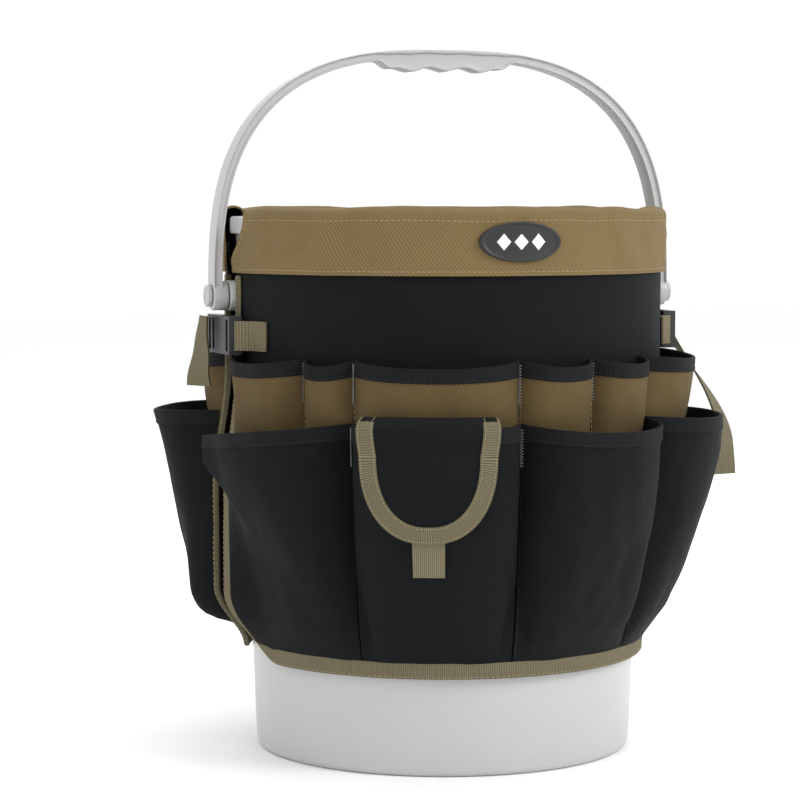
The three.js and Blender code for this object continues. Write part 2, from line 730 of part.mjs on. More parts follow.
const BUCKLE_END = BUCKLE.length / 2;
const FRONT_ROUTE = [onApron(69), onApron(71), onApron(73), onApron(75), onBuckle(-BUCKLE_END - 0.8, -1)];
const BACK_ROUTE = [
  onBuckle(BUCKLE_END + 0.8, 0),
  onBuckle(BUCKLE_END + 4, -1),
  onApron(102, 1.6),
  onApron(105),
  onApron(109),
  onApron(113),
];

for (const [word, tail] of Object.entries(TAILS)) {
  const onSide = (geometry) => (word === "right" ? geometry : mirrorX(geometry));
  addMesh(`strap_front_${word}`, onSide(edgeStrap(FRONT_ROUTE)), FINISH.tanWebbing);
  addMesh(`strap_back_${word}`, onSide(edgeStrap(BACK_ROUTE)), FINISH.tanWebbing);
  addMesh(`buckle_socket_${word}`, onSide(placeBuckle(buckleSocket())), FINISH.buckle);
  addMesh(`buckle_prong_${word}`, onSide(placeBuckle(bucklePronged())), FINISH.buckle);
  addMesh(`strap_tail_${word}`, onSide(hangingTail(tail)), FINISH.tanWebbing);
}

export default part;
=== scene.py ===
"""A two-part cloth tool organizer hung over the rim of a round pail with a bail handle.

Sizes are in millimetres and angles in degrees until a mesh is made, which is in metres. An angle round
the pail runs from -Y towards +X, and the front half's middle faces -Y.
"""

import logging
import math
from collections.abc import Callable, Sequence
from dataclasses import dataclass, field, replace
from enum import Enum

import bpy
from mathutils import Matrix, Vector, noise


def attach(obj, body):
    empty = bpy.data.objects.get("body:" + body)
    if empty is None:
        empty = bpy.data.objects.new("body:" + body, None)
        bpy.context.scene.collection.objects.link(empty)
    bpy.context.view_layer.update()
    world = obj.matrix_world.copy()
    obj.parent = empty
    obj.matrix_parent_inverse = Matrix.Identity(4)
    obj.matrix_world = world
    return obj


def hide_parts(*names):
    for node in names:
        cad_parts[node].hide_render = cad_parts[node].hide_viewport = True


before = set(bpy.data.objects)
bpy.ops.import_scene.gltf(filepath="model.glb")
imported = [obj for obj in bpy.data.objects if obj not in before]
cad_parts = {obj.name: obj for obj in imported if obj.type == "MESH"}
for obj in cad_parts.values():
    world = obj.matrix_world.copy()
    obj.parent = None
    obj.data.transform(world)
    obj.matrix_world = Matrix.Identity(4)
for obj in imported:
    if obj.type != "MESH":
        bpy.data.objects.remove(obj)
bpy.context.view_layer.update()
LOG = logging.getLogger("organizer")
MM = 0.001

Place = Callable[[float, float], Vector]
Color = tuple[float, float, float]


class Body(Enum):
    """The bodies that move apart."""

    FIXED = "organizer_and_pail"
    BAIL = "bail"
    FLAP = "flap"
    PRONG_LEFT = "prong_left"
    PRONG_RIGHT = "prong_right"


class Slot(Enum):
    """The record's material slots."""

    PAIL = "pail_plastic"
    BAIL = "bail_plastic"
    BLACK_CLOTH = "black_cloth"
    TAN_CLOTH = "tan_cloth"
    TAN_WEBBING = "tan_webbing"
    BLACK_WEBBING = "black_webbing"
    BUCKLE = "buckle_plastic"
    BADGE = "badge_rubber"


class Held(Enum):
    """How a sheet of cloth is held."""

    STRETCHED = "stretched"
    HUNG = "hung"
    FOLDED = "folded"


class Weave(Enum):
    """How the threads of a cloth cross."""

    TWILL = "twill"
    PLAIN = "plain"
    RIBBED = "ribbed"
    BASKET = "basket"


# ---- Finishes --------------------------------------------------------------------------------------


class NodeDesk:
    """A material's node tree, with short ways to add and join nodes."""

    def __init__(self, name: str) -> None:
        """Starts an empty material with its shader.

        Args:
            name: The material's name.
        """
        self.material = bpy.data.materials.new(name)
        self.material.use_nodes = True
        self.nodes = self.material.node_tree.nodes
        self.links = self.material.node_tree.links
        self.shader = self.nodes["Principled BSDF"]

    def add(self, kind: str, **settings: object) -> bpy.types.Node:
        """Adds a node and sets its properties.

        Args:
            kind: The node's type name.
            settings: Properties by name.

        Returns:
            The node.
        """
        node = self.nodes.new(kind)
        for key, value in settings.items():
            setattr(node, key, value)
        return node

    def feed(self, socket: bpy.types.NodeSocket, value: object) -> None:
        """Links a socket's input to another socket, or sets its number."""
        if isinstance(value, bpy.types.NodeSocket):
            self.links.new(value, socket)
        else:
            socket.default_value = value

    def math(self, operation: str, *values: object) -> bpy.types.NodeSocket:
        """Adds a Math node.

        Args:
            operation: The operation's name.
            values: Its inputs, numbers or sockets.

        Returns:
            The result's socket.
        """
        node = self.add("ShaderNodeMath", operation=operation)
        for socket, value in zip(node.inputs, values):
            self.feed(socket, value)
        return node.outputs[0]

    def mix(self, factor: object, first: object, second: object) -> bpy.types.NodeSocket:
        """Mixes two colours.

        Args:
            factor: How much of the second.
            first: A colour or a socket.
            second: A colour or a socket.

        Returns:
            The colour's socket.
        """
        node = self.add("ShaderNodeMix", data_type="RGBA")
        self.feed(node.inputs["Factor"], factor)
        for socket, value in ((node.inputs[6], first), (node.inputs[7], second)):
            self.feed(socket, (*value, 1) if isinstance(value, tuple) else value)
        return node.outputs[2]

    def noise(self, scale: float, detail: float = 3, stretch: Color = (1, 1, 1)) -> bpy.types.NodeSocket:
        """Adds noise on the object's own coordinates.

        Args:
            scale: Its scale, per metre.
            detail: Its octaves.
            stretch: A factor on each axis.

        Returns:
            The noise's socket.
        """
        where = self.add("ShaderNodeTexCoord").outputs["Object"]
        mapping = self.add("ShaderNodeMapping")
        mapping.inputs["Scale"].default_value = stretch
        self.links.new(where, mapping.inputs["Vector"])
        node = self.add("ShaderNodeTexNoise")
        self.links.new(mapping.outputs[0], node.inputs["Vector"])
        node.inputs["Scale"].default_value = scale
        node.inputs["Detail"].default_value = detail
        return node.outputs[0]

    def bump(self, height: bpy.types.NodeSocket, distance: float, under: object = None) -> None:
        """Joins a height to the shader's normal.

        Args:
            height: The height, from 0 to 1.
            distance: The height of 1, in metres.
            under: A bump below this one.
        """
        node = self.add("ShaderNodeBump")
        node.inputs["Distance"].default_value = distance
        node.inputs["Strength"].default_value = 1
        self.links.new(height, node.inputs["Height"])
        if under is not None:
            self.links.new(under, node.inputs["Normal"])
        self.links.new(node.outputs[0], self.shader.inputs["Normal"])


@dataclass(frozen=True)
class ClothFinish:
    """A woven finish whose threads follow the piece's UV map, which is in metres."""

    name: str
    warp: Color
    weft: Color
    weave: Weave
    pitch: float
    depth: float
    sheen: float = 0.0
    roughness: float = 0.9
    mottle: float = 0.25
    specular: float = 0.25

    def material(self) -> bpy.types.Material:
        """Makes the material.

        Returns:
            The material.
        """
        desk = NodeDesk(self.name)
        uv = desk.add("ShaderNodeUVMap").outputs[0]
        split = desk.add("ShaderNodeSeparateXYZ")
        desk.links.new(uv, split.inputs[0])
        across = desk.math("DIVIDE", split.outputs[0], self.pitch * MM)
        along = desk.math("DIVIDE", split.outputs[1], self.pitch * MM)
        over, height = self._crossing(desk, across, along)
        color = desk.mix(over, self.weft, self.warp)
        shade = desk.math("MULTIPLY_ADD", height, 0.55, 0.45)
        shaded = desk.mix(shade, tuple(c * 0.35 for c in self.warp), color)
        blotch = desk.math("MULTIPLY", desk.noise(38, 5), self.mottle)
        worn = desk.mix(blotch, shaded, tuple(min(c * 1.9 + 0.01, 1) for c in self.warp))
        desk.links.new(worn, desk.shader.inputs["Base Color"])
        desk.bump(height, self.depth * MM)
        rough = desk.math("MULTIPLY_ADD", height, -0.08, self.roughness)
        desk.links.new(rough, desk.shader.inputs["Roughness"])
        desk.shader.inputs["Sheen Weight"].default_value = self.sheen
        desk.shader.inputs["Sheen Roughness"].default_value = 0.5
        desk.shader.inputs["Specular IOR Level"].default_value = self.specular
        return desk.material

    def _crossing(
        self, desk: NodeDesk, across: bpy.types.NodeSocket, along: bpy.types.NodeSocket
    ) -> tuple[bpy.types.NodeSocket, bpy.types.NodeSocket]:
        """Works out which thread is on top, and how high.

        Args:
            desk: The material's desk.
            across: The place across the cloth, in threads.
            along: The place along it, in threads.

        Returns:
            Sockets for whether the warp is on top and for the height.
        """
        warp = desk.math("ABSOLUTE", desk.math("SINE", desk.math("MULTIPLY", across, math.pi)))
        weft = desk.math("ABSOLUTE", desk.math("SINE", desk.math("MULTIPLY", along, math.pi)))
        if self.weave is Weave.RIBBED:
            fine = desk.math("ABSOLUTE", desk.math("SINE", desk.math("MULTIPLY", along, math.pi * 2.2)))
            height = desk.math("MULTIPLY_ADD", fine, 0.18, desk.math("MULTIPLY", warp, 0.82))
            return warp, height
        if self.weave is Weave.BASKET:
            return warp, desk.math("MULTIPLY", warp, weft)
        step, share = (4.0, 0.5) if self.weave is Weave.TWILL else (2.0, 0.5)
        cells = desk.math("ADD", desk.math("FLOOR", across), desk.math("FLOOR", along))
        turn = desk.math("FRACT", desk.math("DIVIDE", cells, step))
        over = desk.math("LESS_THAN", turn, share - 0.01)
        under = desk.math("SUBTRACT", 1.0, over)
        height = desk.math("ADD", desk.math("MULTIPLY", warp, over), desk.math("MULTIPLY", weft, under))
        return over, height


@dataclass(frozen=True)
class MouldedFinish:
    """A moulded plastic or rubber finish, with faint grain and handling marks."""

    name: str
    color: Color
    roughness: float
    grain: float
    coat: float = 0.0
    subsurface: float = 0.0

    def material(self) -> bpy.types.Material:
        """Makes the material.

        Returns:
            The material.
        """
        desk = NodeDesk(self.name)
        marks = desk.noise(9, 6, (1, 1, 0.35))
        darker = tuple(c * 0.9 for c in self.color)
        desk.links.new(desk.mix(marks, darker, self.color), desk.shader.inputs["Base Color"])
        rough = desk.math("MULTIPLY_ADD", desk.noise(60, 4), 0.16, self.roughness - 0.06)
        desk.links.new(rough, desk.shader.inputs["Roughness"])
        desk.bump(desk.noise(900, 2), self.grain * MM)
        desk.shader.inputs["Coat Weight"].default_value = self.coat
        desk.shader.inputs["Coat Roughness"].default_value = 0.2
        desk.shader.inputs["Subsurface Weight"].default_value = self.subsurface
        desk.shader.inputs["Subsurface Radius"].default_value = (0.004, 0.004, 0.0036)
        return desk.material


class Finishes:
    """The object's finishes, each made once."""

    def __init__(self) -> None:
        """Makes every material."""
        self.black_cloth = ClothFinish(
            "black cloth", (0.0044, 0.005, 0.0058), (0.0085, 0.0095, 0.0105), Weave.TWILL, 0.62, 0.2, 0.012, 0.75, 0.08, 0.09
        ).material()
        self.tan_cloth = ClothFinish(
            "tan cloth", (0.232, 0.163, 0.067), (0.148, 0.1, 0.038), Weave.TWILL, 0.66, 0.24, 0.03, 0.85, 0.12, 0.2
        ).material()
        # Painted shade: the collar's tan cloth made darker so that the upper pockets look shaded. Their cloth is the
        # same as the collar's.
        self.tan_cloth_painted_shade = ClothFinish(
            "tan cloth with painted shade", (0.15, 0.104, 0.042), (0.088, 0.06, 0.023), Weave.TWILL, 0.66, 0.24, 0.02, 0.85, 0.12, 0.15
        ).material()
        self.tan_webbing = ClothFinish(
            "tan webbing", (0.19, 0.166, 0.1), (0.032, 0.027, 0.015), Weave.RIBBED, 1.25, 0.4, 0.03, 0.85, 0.1, 0.15
        ).material()
        self.tan_basket = ClothFinish(
            "tan basket webbing", (0.26, 0.225, 0.135), (0.07, 0.058, 0.03), Weave.BASKET, 1.3, 0.5, 0.03, 0.85, 0.1, 0.15
        ).material()
        self.black_webbing = ClothFinish(
            "black grosgrain", (0.009, 0.0098, 0.011), (0.0025, 0.0025, 0.003), Weave.RIBBED, 1.2, 0.35, 0.015, 0.75, 0.1, 0.1
        ).material()
        self.hook_tape = ClothFinish(
            "hook tape", (0.012, 0.012, 0.013), (0.005, 0.005, 0.005), Weave.BASKET, 1.1, 0.6
        ).material()
        self.thread_tan = ClothFinish(
            "tan thread", (0.34, 0.27, 0.155), (0.25, 0.195, 0.11), Weave.RIBBED, 0.5, 0.1
        ).material()
        self.thread_white = ClothFinish(
            "white thread", (0.4, 0.4, 0.4), (0.28, 0.28, 0.28), Weave.RIBBED, 0.5, 0.1
        ).material()
        self.thread_black = ClothFinish(
            "black thread", (0.02, 0.021, 0.023), (0.012, 0.012, 0.012), Weave.RIBBED, 0.5, 0.1
        ).material()
        self.pail = MouldedFinish("pail polyethylene", (0.45, 0.45, 0.445), 0.36, 0.02, 0.1, 0.05).material()
        self.bail = MouldedFinish("bail polyethylene", (0.42, 0.42, 0.412), 0.4, 0.004, 0.08).material()
        self.buckle = MouldedFinish("buckle acetal", (0.011, 0.0115, 0.013), 0.42, 0.03).material()
        self.badge = MouldedFinish("badge rubber", (0.007, 0.007, 0.008), 0.45, 0.02).material()
        self.badge_mark = MouldedFinish("badge mark", (0.78, 0.78, 0.78), 0.5, 0.01).material()


# ---- Making meshes ---------------------------------------------------------------------------------


def polar(angle: float, radius: float, z: float) -> Vector:
    """A point round the pail.

    Args:
        angle: Degrees from -Y towards +X.
        radius: Millimetres from the pail's axis.
        z: Millimetres above the floor.

    Returns:
        The point, in millimetres.
    """
    turn = math.radians(angle)
    return Vector((radius * math.sin(turn), -radius * math.cos(turn), z))


def lerp(first: float, second: float, t: float) -> float:
    """The value a share t of the way from first to second."""
    return first + (second - first) * t


def clamp(value: float, low: float = 0.0, high: float = 1.0) -> float:
    """The value, kept from low to high."""
    return max(low, min(high, value))


def ease(t: float) -> float:
    """A share t from 0 to 1, slow at both ends."""
    t = clamp(t)
    return t * t * (3 - 2 * t)


def select_only(piece: bpy.types.Object) -> None:
    """Makes one object the only selected and the active one."""
    bpy.ops.object.select_all(action="DESELECT")
    piece.select_set(True)
    bpy.context.view_layer.objects.active = piece


def apply_modifier(piece: bpy.types.Object, kind: str, **settings: object) -> None:
    """Adds a modifier, sets it and applies it.

    Args:
        piece: The object.
        kind: The modifier's type.
        settings: Its properties by name.
    """
    select_only(piece)
    modifier = piece.modifiers.new(kind.title(), kind)
    for key, value in settings.items():
        setattr(modifier, key, value)
    bpy.ops.object.modifier_apply(modifier=modifier.name)


def smooth(piece: bpy.types.Object, angle: float = 50) -> None:
    """Shades smooth where faces meet at less than an angle."""
    select_only(piece)
    bpy.ops.object.shade_smooth_by_angle(angle=math.radians(angle))


def merge_doubles(piece: bpy.types.Object, distance: float = 1e-6) -> None:
    """Merges vertices that lie on each other."""
    select_only(piece)
    bpy.ops.object.mode_set(mode="EDIT")
    bpy.ops.mesh.select_all(action="SELECT")
    bpy.ops.mesh.remove_doubles(threshold=distance)
    bpy.ops.object.mode_set(mode="OBJECT")


def join(pieces: Sequence[bpy.types.Object], name: str) -> bpy.types.Object:
    """Joins objects into one.

    Args:
        pieces: The objects.
        name: The new one's name.

    Returns:
        The joined object.
    """
    bpy.ops.object.select_all(action="DESELECT")
    for piece in pieces:
        piece.select_set(True)
    bpy.context.view_layer.objects.active = pieces[0]
    if len(pieces) > 1:
        bpy.ops.object.join()
    pieces[0].name = name
    pieces[0].data.name = name
    return pieces[0]


def bend_grid(name: str, cells: tuple[int, int], place: Place) -> bpy.types.Object:
    """Adds a grid and lays each of its corners at its place.

    Args:
        name: The object's name.
        cells: How many cells it has across and along.
        place: Gives a point in millimetres from shares across and along.

    Returns:
        The object, with a UV map in metres of its own length and width.
    """
    bpy.ops.object.select_all(action="DESELECT")
    bpy.ops.mesh.primitive_grid_add(x_subdivisions=cells[0], y_subdivisions=cells[1], size=1)
    piece = bpy.context.active_object
    piece.name = name
    piece.data.name = name
    for vertex in piece.data.vertices:
        vertex.co = place(vertex.co.x + 0.5, vertex.co.y + 0.5) * MM
    width, length = developed(cells, place)
    uv = piece.data.uv_layers.active.data
    for corner in uv:
        corner.uv = (corner.uv[0] * width * MM, corner.uv[1] * length * MM)
    return piece


def developed(cells: tuple[int, int], place: Place) -> tuple[float, float]:
    """A bent grid's greatest width and length along its surface.

    Args:
        cells: How many cells it has across and along.
        place: Gives a point in millimetres from shares across and along.

    Returns:
        The width and the length, in millimetres.
    """

    def run(count: int, at: Callable[[float], Vector]) -> float:
        points = [at(i / count) for i in range(count + 1)]
        return sum((b - a).length for a, b in zip(points, points[1:]))

    width = max(run(cells[0], lambda u, v=v: place(u, v)) for v in (0.02, 0.5, 0.98))
    length = max(run(cells[1], lambda v, u=u: place(u, v)) for u in (0.02, 0.5, 0.98))
    return width, length


def surface_normal(place: Place, u: float, v: float) -> Vector:
    """The outward normal of a bent surface at shares u and v."""
    step = 2e-3
    across = place(min(u + step, 1), v) - place(max(u - step, 0), v)
    along = place(u, min(v + step, 1)) - place(u, max(v - step, 0))
    normal = across.cross(along)
    return normal.normalized() if normal.length > 1e-9 else Vector((0, 0, 1))


@dataclass
class Dress:
    """What every piece is given when its mesh is done."""

    body: Body
    slot: Slot
    material: bpy.types.Material
    nodes: tuple[str, ...] = ()

    def put_on(self, piece: bpy.types.Object) -> bpy.types.Object:
        """Gives a piece its finish, its body and the CAD nodes that it stands for.

        Args:
            piece: The object.

        Returns:
            The same object.
        """
        piece.data.materials.clear()
        piece.data.materials.append(self.material)
        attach(piece, self.body.value)
        if self.nodes:
            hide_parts(*self.nodes)
        LOG.info("%s: %d faces", piece.name, len(piece.data.polygons))
        return piece


def sew_sheet(
    name: str,
    cells: tuple[int, int],
    place: Place,
    thickness: float,
    dress: Dress,
    held: Held = Held.STRETCHED,
) -> bpy.types.Object:
    """Makes one cut of cloth: a bent grid with a thickness.

    Args:
        name: The piece's name.
        cells: How many cells it has across and along.
        place: Gives its middle surface.
        thickness: The cloth's thickness in millimetres.
        dress: Its finish and body.
        held: How it is held. It is not used.

    Returns:
        The piece.
    """
    piece = bend_grid(name, cells, place)
    width, length = developed(cells, place)
    apply_modifier(piece, "SOLIDIFY", thickness=thickness * MM, offset=0, use_even_offset=False)
    smooth(piece, 60)
    dress.put_on(piece)
    return piece


@dataclass
class Stitches:
    """A row of thread stitches laid on a surface."""

    length: float = 2.6
    gap: float = 1.0
    width: float = 0.55
    height: float = 0.45

    def run(self, route: Callable[[float], tuple[Vector, Vector]], count: int) -> bpy.types.Object:
        """Sews one row.

        Args:
            route: Gives a point and the outward normal from a share of the way.
            count: How many straight steps measure the route.

        Returns:
            The row's object, with no finish yet.
        """
        points = [route(i / count) for i in range(count + 1)]
        spans = [(b[0] - a[0]).length for a, b in zip(points, points[1:])]
        pitch = self.length + self.gap
        number = max(1, int(sum(spans) / pitch))
        verts: list[Vector] = []
        faces: list[tuple[int, ...]] = []
        done, index = 0.0, 0
        for stitch in range(number):
            target = (stitch + 0.5) * sum(spans) / number
            while index < len(spans) - 1 and done + spans[index] < target:
                done += spans[index]
                index += 1
            share = (target - done) / max(spans[index], 1e-9)
            middle = points[index][0].lerp(points[index + 1][0], share)
            along = (points[index + 1][0] - points[index][0]).normalized()
            self._one(middle, along, points[index][1], verts, faces)
        mesh = bpy.data.meshes.new("stitches")
        mesh.from_pydata([p * MM for p in verts], [], faces)
        uv = mesh.uv_layers.new(name="UVMap")
        for loop in mesh.loops:
            uv.data[loop.index].uv = (verts[loop.vertex_index].x * MM, verts[loop.vertex_index].z * MM)
        row = bpy.data.objects.new("stitches", mesh)
        bpy.context.scene.collection.objects.link(row)
        smooth(row, 80)
        return row

    def _one(
        self, middle: Vector, along: Vector, normal: Vector, verts: list[Vector], faces: list[tuple[int, ...]]
    ) -> None:
        """Adds one stitch, an arched bead of thread with both ends sunk in the cloth.

        Args:
            middle: Its middle.
            along: The way it runs.
            normal: The way out of the cloth.
            verts: The row's vertices so far.
            faces: The row's faces so far.
        """
        side = along.cross(normal).normalized()
        first = len(verts)
        rings = ((-0.5, -0.45, 0.5), (-0.3, 0.2, 1.0), (0.0, 0.42, 1.0), (0.3, 0.2, 1.0), (0.5, -0.45, 0.5))
        around = 6
        for place, lift, thick in rings:
            centre = middle + along * place * self.length + normal * lift * self.height
            for k in range(around):
                turn = 2 * math.pi * k / around
                out = side * math.cos(turn) * self.width / 2 + normal * math.sin(turn) * self.height / 2
                verts.append(centre + out * thick)
        for r in range(len(rings) - 1):
            for k in range(around):
                a = first + r * around + k
                b = first + r * around + (k + 1) % around
                faces.append((a, b, b + around, a + around))
        faces.append(tuple(first + k for k in reversed(range(around))))
        faces.append(tuple(first + (len(rings) - 1) * around + k for k in range(around)))


def sew_rows(
    name: str, routes: Sequence[Callable[[float], tuple[Vector, Vector]]], kind: Stitches, dress: Dress
) -> bpy.types.Object:
    """Sews several rows of stitches as one piece.

    Args:
        name: The piece's name.
        routes: One route for each row.
        kind: The stitches.
        dress: Their finish and body.

    Returns:
        The piece.
    """
    rows = [kind.run(route, 160) for route in routes]
    return dress.put_on(join(rows, name))


def along_sheet(
    place: Place, v: float, lift: float, u0: float = 0.0, u1: float = 1.0
) -> Callable[[float], tuple[Vector, Vector]]:
    """A stitch route across a surface at one share along it."""

    def route(t: float) -> tuple[Vector, Vector]:
        u = lerp(u0, u1, t)
        normal = surface_normal(place, u, v)
        return place(u, v) + normal * lift, normal

    return route


def up_sheet(
    place: Place, u: float, lift: float, v0: float = 0.0, v1: float = 1.0
) -> Callable[[float], tuple[Vector, Vector]]:
    """A stitch route along a surface at one share across it."""

    def route(t: float) -> tuple[Vector, Vector]:
        v = lerp(v0, v1, t)
        normal = surface_normal(place, u, v)
        return place(u, v) + normal * lift, normal

    return route


def fillet(points: Sequence[tuple[float, float, float]], steps: int = 5) -> list[Vector]:
    """Rounds the corners of an open outline.

    Args:
        points: Each corner's two coordinates and its rounding radius.
        steps: How many steps each round has.

    Returns:
        The rounded outline's points.
    """
    corners = [Vector((x, y)) for x, y, _ in points]
    out = [corners[0]]
    for i in range(1, len(points) - 1):
        back = corners[i - 1] - corners[i]
        ahead = corners[i + 1] - corners[i]
        reach = min(points[i][2], back.length * 0.48, ahead.length * 0.48)
        if reach < 1e-6:
            out.append(corners[i])
            continue
        start = corners[i] + back.normalized() * reach
        end = corners[i] + ahead.normalized() * reach
        for k in range(steps + 1):
            t = k / steps
            out.append(start * (1 - t) ** 2 + corners[i] * 2 * t * (1 - t) + end * t * t)
    out.append(corners[-1])
    return out


def wrinkle(seed: float, x: float, y: float, size: float, stretch: float = 1.0) -> float:
    """A soft random height from -1 to 1.

    Args:
        seed: Picks the pattern.
        x: A place in millimetres.
        y: The other place in millimetres.
        size: The size of a wrinkle in millimetres.
        stretch: How many times longer a wrinkle is along y.

    Returns:
        The height.
    """
    return noise.noise(Vector((x / size, y / size / stretch, seed * 7.31)))


# ---- Pail ------------------------------------------------------------------------------------------


@dataclass
class Pail:
    """The moulded pail with its ears, pins and caps."""

    finishes: Finishes
    height: float = 370
    base_radius: float = 131
    neck_radius: float = 144.5
    neck_height: float = 345
    lip_radius: float = 149
    lip_bottom: float = 358
    wall: float = 2.5
    floor: float = 3
    ear_z: float = 316
    boss_radius: float = 11
    boss_outer: float = 156.2
    pin_radius: float = 4.2
    pin_end: float = 171

    def wall_radius(self, z: float) -> float:
        """The outer wall's radius at a height."""
        return lerp(self.base_radius, self.neck_radius, clamp(z / self.neck_height))

    def profile(self) -> list[Vector]:
        """The wall's section, from the middle of the underside round to the middle of the floor.

        Returns:
            Points of radius and height.
        """
        lip, neck, inner = self.lip_radius, self.neck_radius, self.neck_radius - self.wall
        foot = self.base_radius
        corners = [
            (0, 1.2, 0),
            (foot - 12, 1.2, 0.8),
            (foot - 10, 0, 0.8),
            (foot - 0.6, 0, 4.5),
            (self.wall_radius(14), 14, 2),
            (self.wall_radius(300), 300, 0),
            (neck, self.neck_height, 1),
            (neck + 0.5, self.lip_bottom, 1),
            (lip, self.lip_bottom, 1.6),
            (lip, self.height, 3),
            (inner, self.height, 3),
            (inner, self.neck_height, 4),
            (self.wall_radius(14) - self.wall, 14, 2),
            (foot - self.wall - 2, self.floor, 6),
            (0, self.floor, 0),
        ]
        return fillet(corners)

    def build(self) -> None:
        """Builds the shell with its ears, and the pin caps."""
        outline = self.profile()

        def place(u: float, v: float) -> Vector:
            p = outline[round(v * (len(outline) - 1))]
            return polar(360 * u, p.x, p.y)

        shell = bend_grid("pail_shell", (144, len(outline) - 1), place)
        merge_doubles(shell, 1e-5)
        parts = [shell]
        for side in (-1, 1):
            parts.append(self.turned_pin(side, self.boss_radius, self.neck_radius - 2.4, self.boss_outer, 1.2))
            parts.append(self.turned_pin(side, self.pin_radius, self.boss_outer - 1, self.pin_end, 0.8))
        piece = join(parts, "pail")
        smooth(piece, 40)
        Dress(Body.FIXED, Slot.PAIL, self.finishes.pail, ("bucket_shell",)).put_on(piece)
        for side, word in ((-1, "left"), (1, "right")):
            cap = self.turned_pin(side, 7.5, 167.4, 170.9, 1.0)
            cap.name = f"pin_cap_{word}"
            smooth(cap, 40)
            Dress(Body.FIXED, Slot.BAIL, self.finishes.bail, (f"bail_pin_cap_{word}",)).put_on(cap)

    def turned_pin(self, side: int, radius: float, start: float, end: float, edge: float) -> bpy.types.Object:
        """A round pin along X with a rounded outer edge and a dished end.

        Args:
            side: -1 or 1, the side of the pail.
            radius: Its radius.
            start: Its inner end.
            end: Its outer end.
            edge: Its outer edge's rounding.

        Returns:
            The pin, with no finish yet.
        """
        bpy.ops.object.select_all(action="DESELECT")
        bpy.ops.mesh.primitive_cylinder_add(
            vertices=40,
            radius=radius * MM,
            depth=(end - start) * MM,
            location=(side * (start + end) / 2 * MM, 0, self.ear_z * MM),
            rotation=(0, side * math.pi / 2, 0),
        )
        pin = bpy.context.active_object
        bpy.ops.object.transform_apply(location=True, rotation=True, scale=True)
        for polygon in pin.data.polygons:
            polygon.select = polygon.normal.x * side > 0.9
        bpy.ops.object.mode_set(mode="EDIT")
        bpy.ops.mesh.select_mode(type="FACE")
        bpy.ops.mesh.inset(thickness=radius * 0.35 * MM, depth=0)
        bpy.ops.mesh.inset(thickness=0.4 * MM, depth=-0.5 * MM)
        bpy.ops.object.mode_set(mode="OBJECT")
        apply_modifier(pin, "BEVEL", width=edge * MM, segments=3, angle_limit=math.radians(60))
        return pin


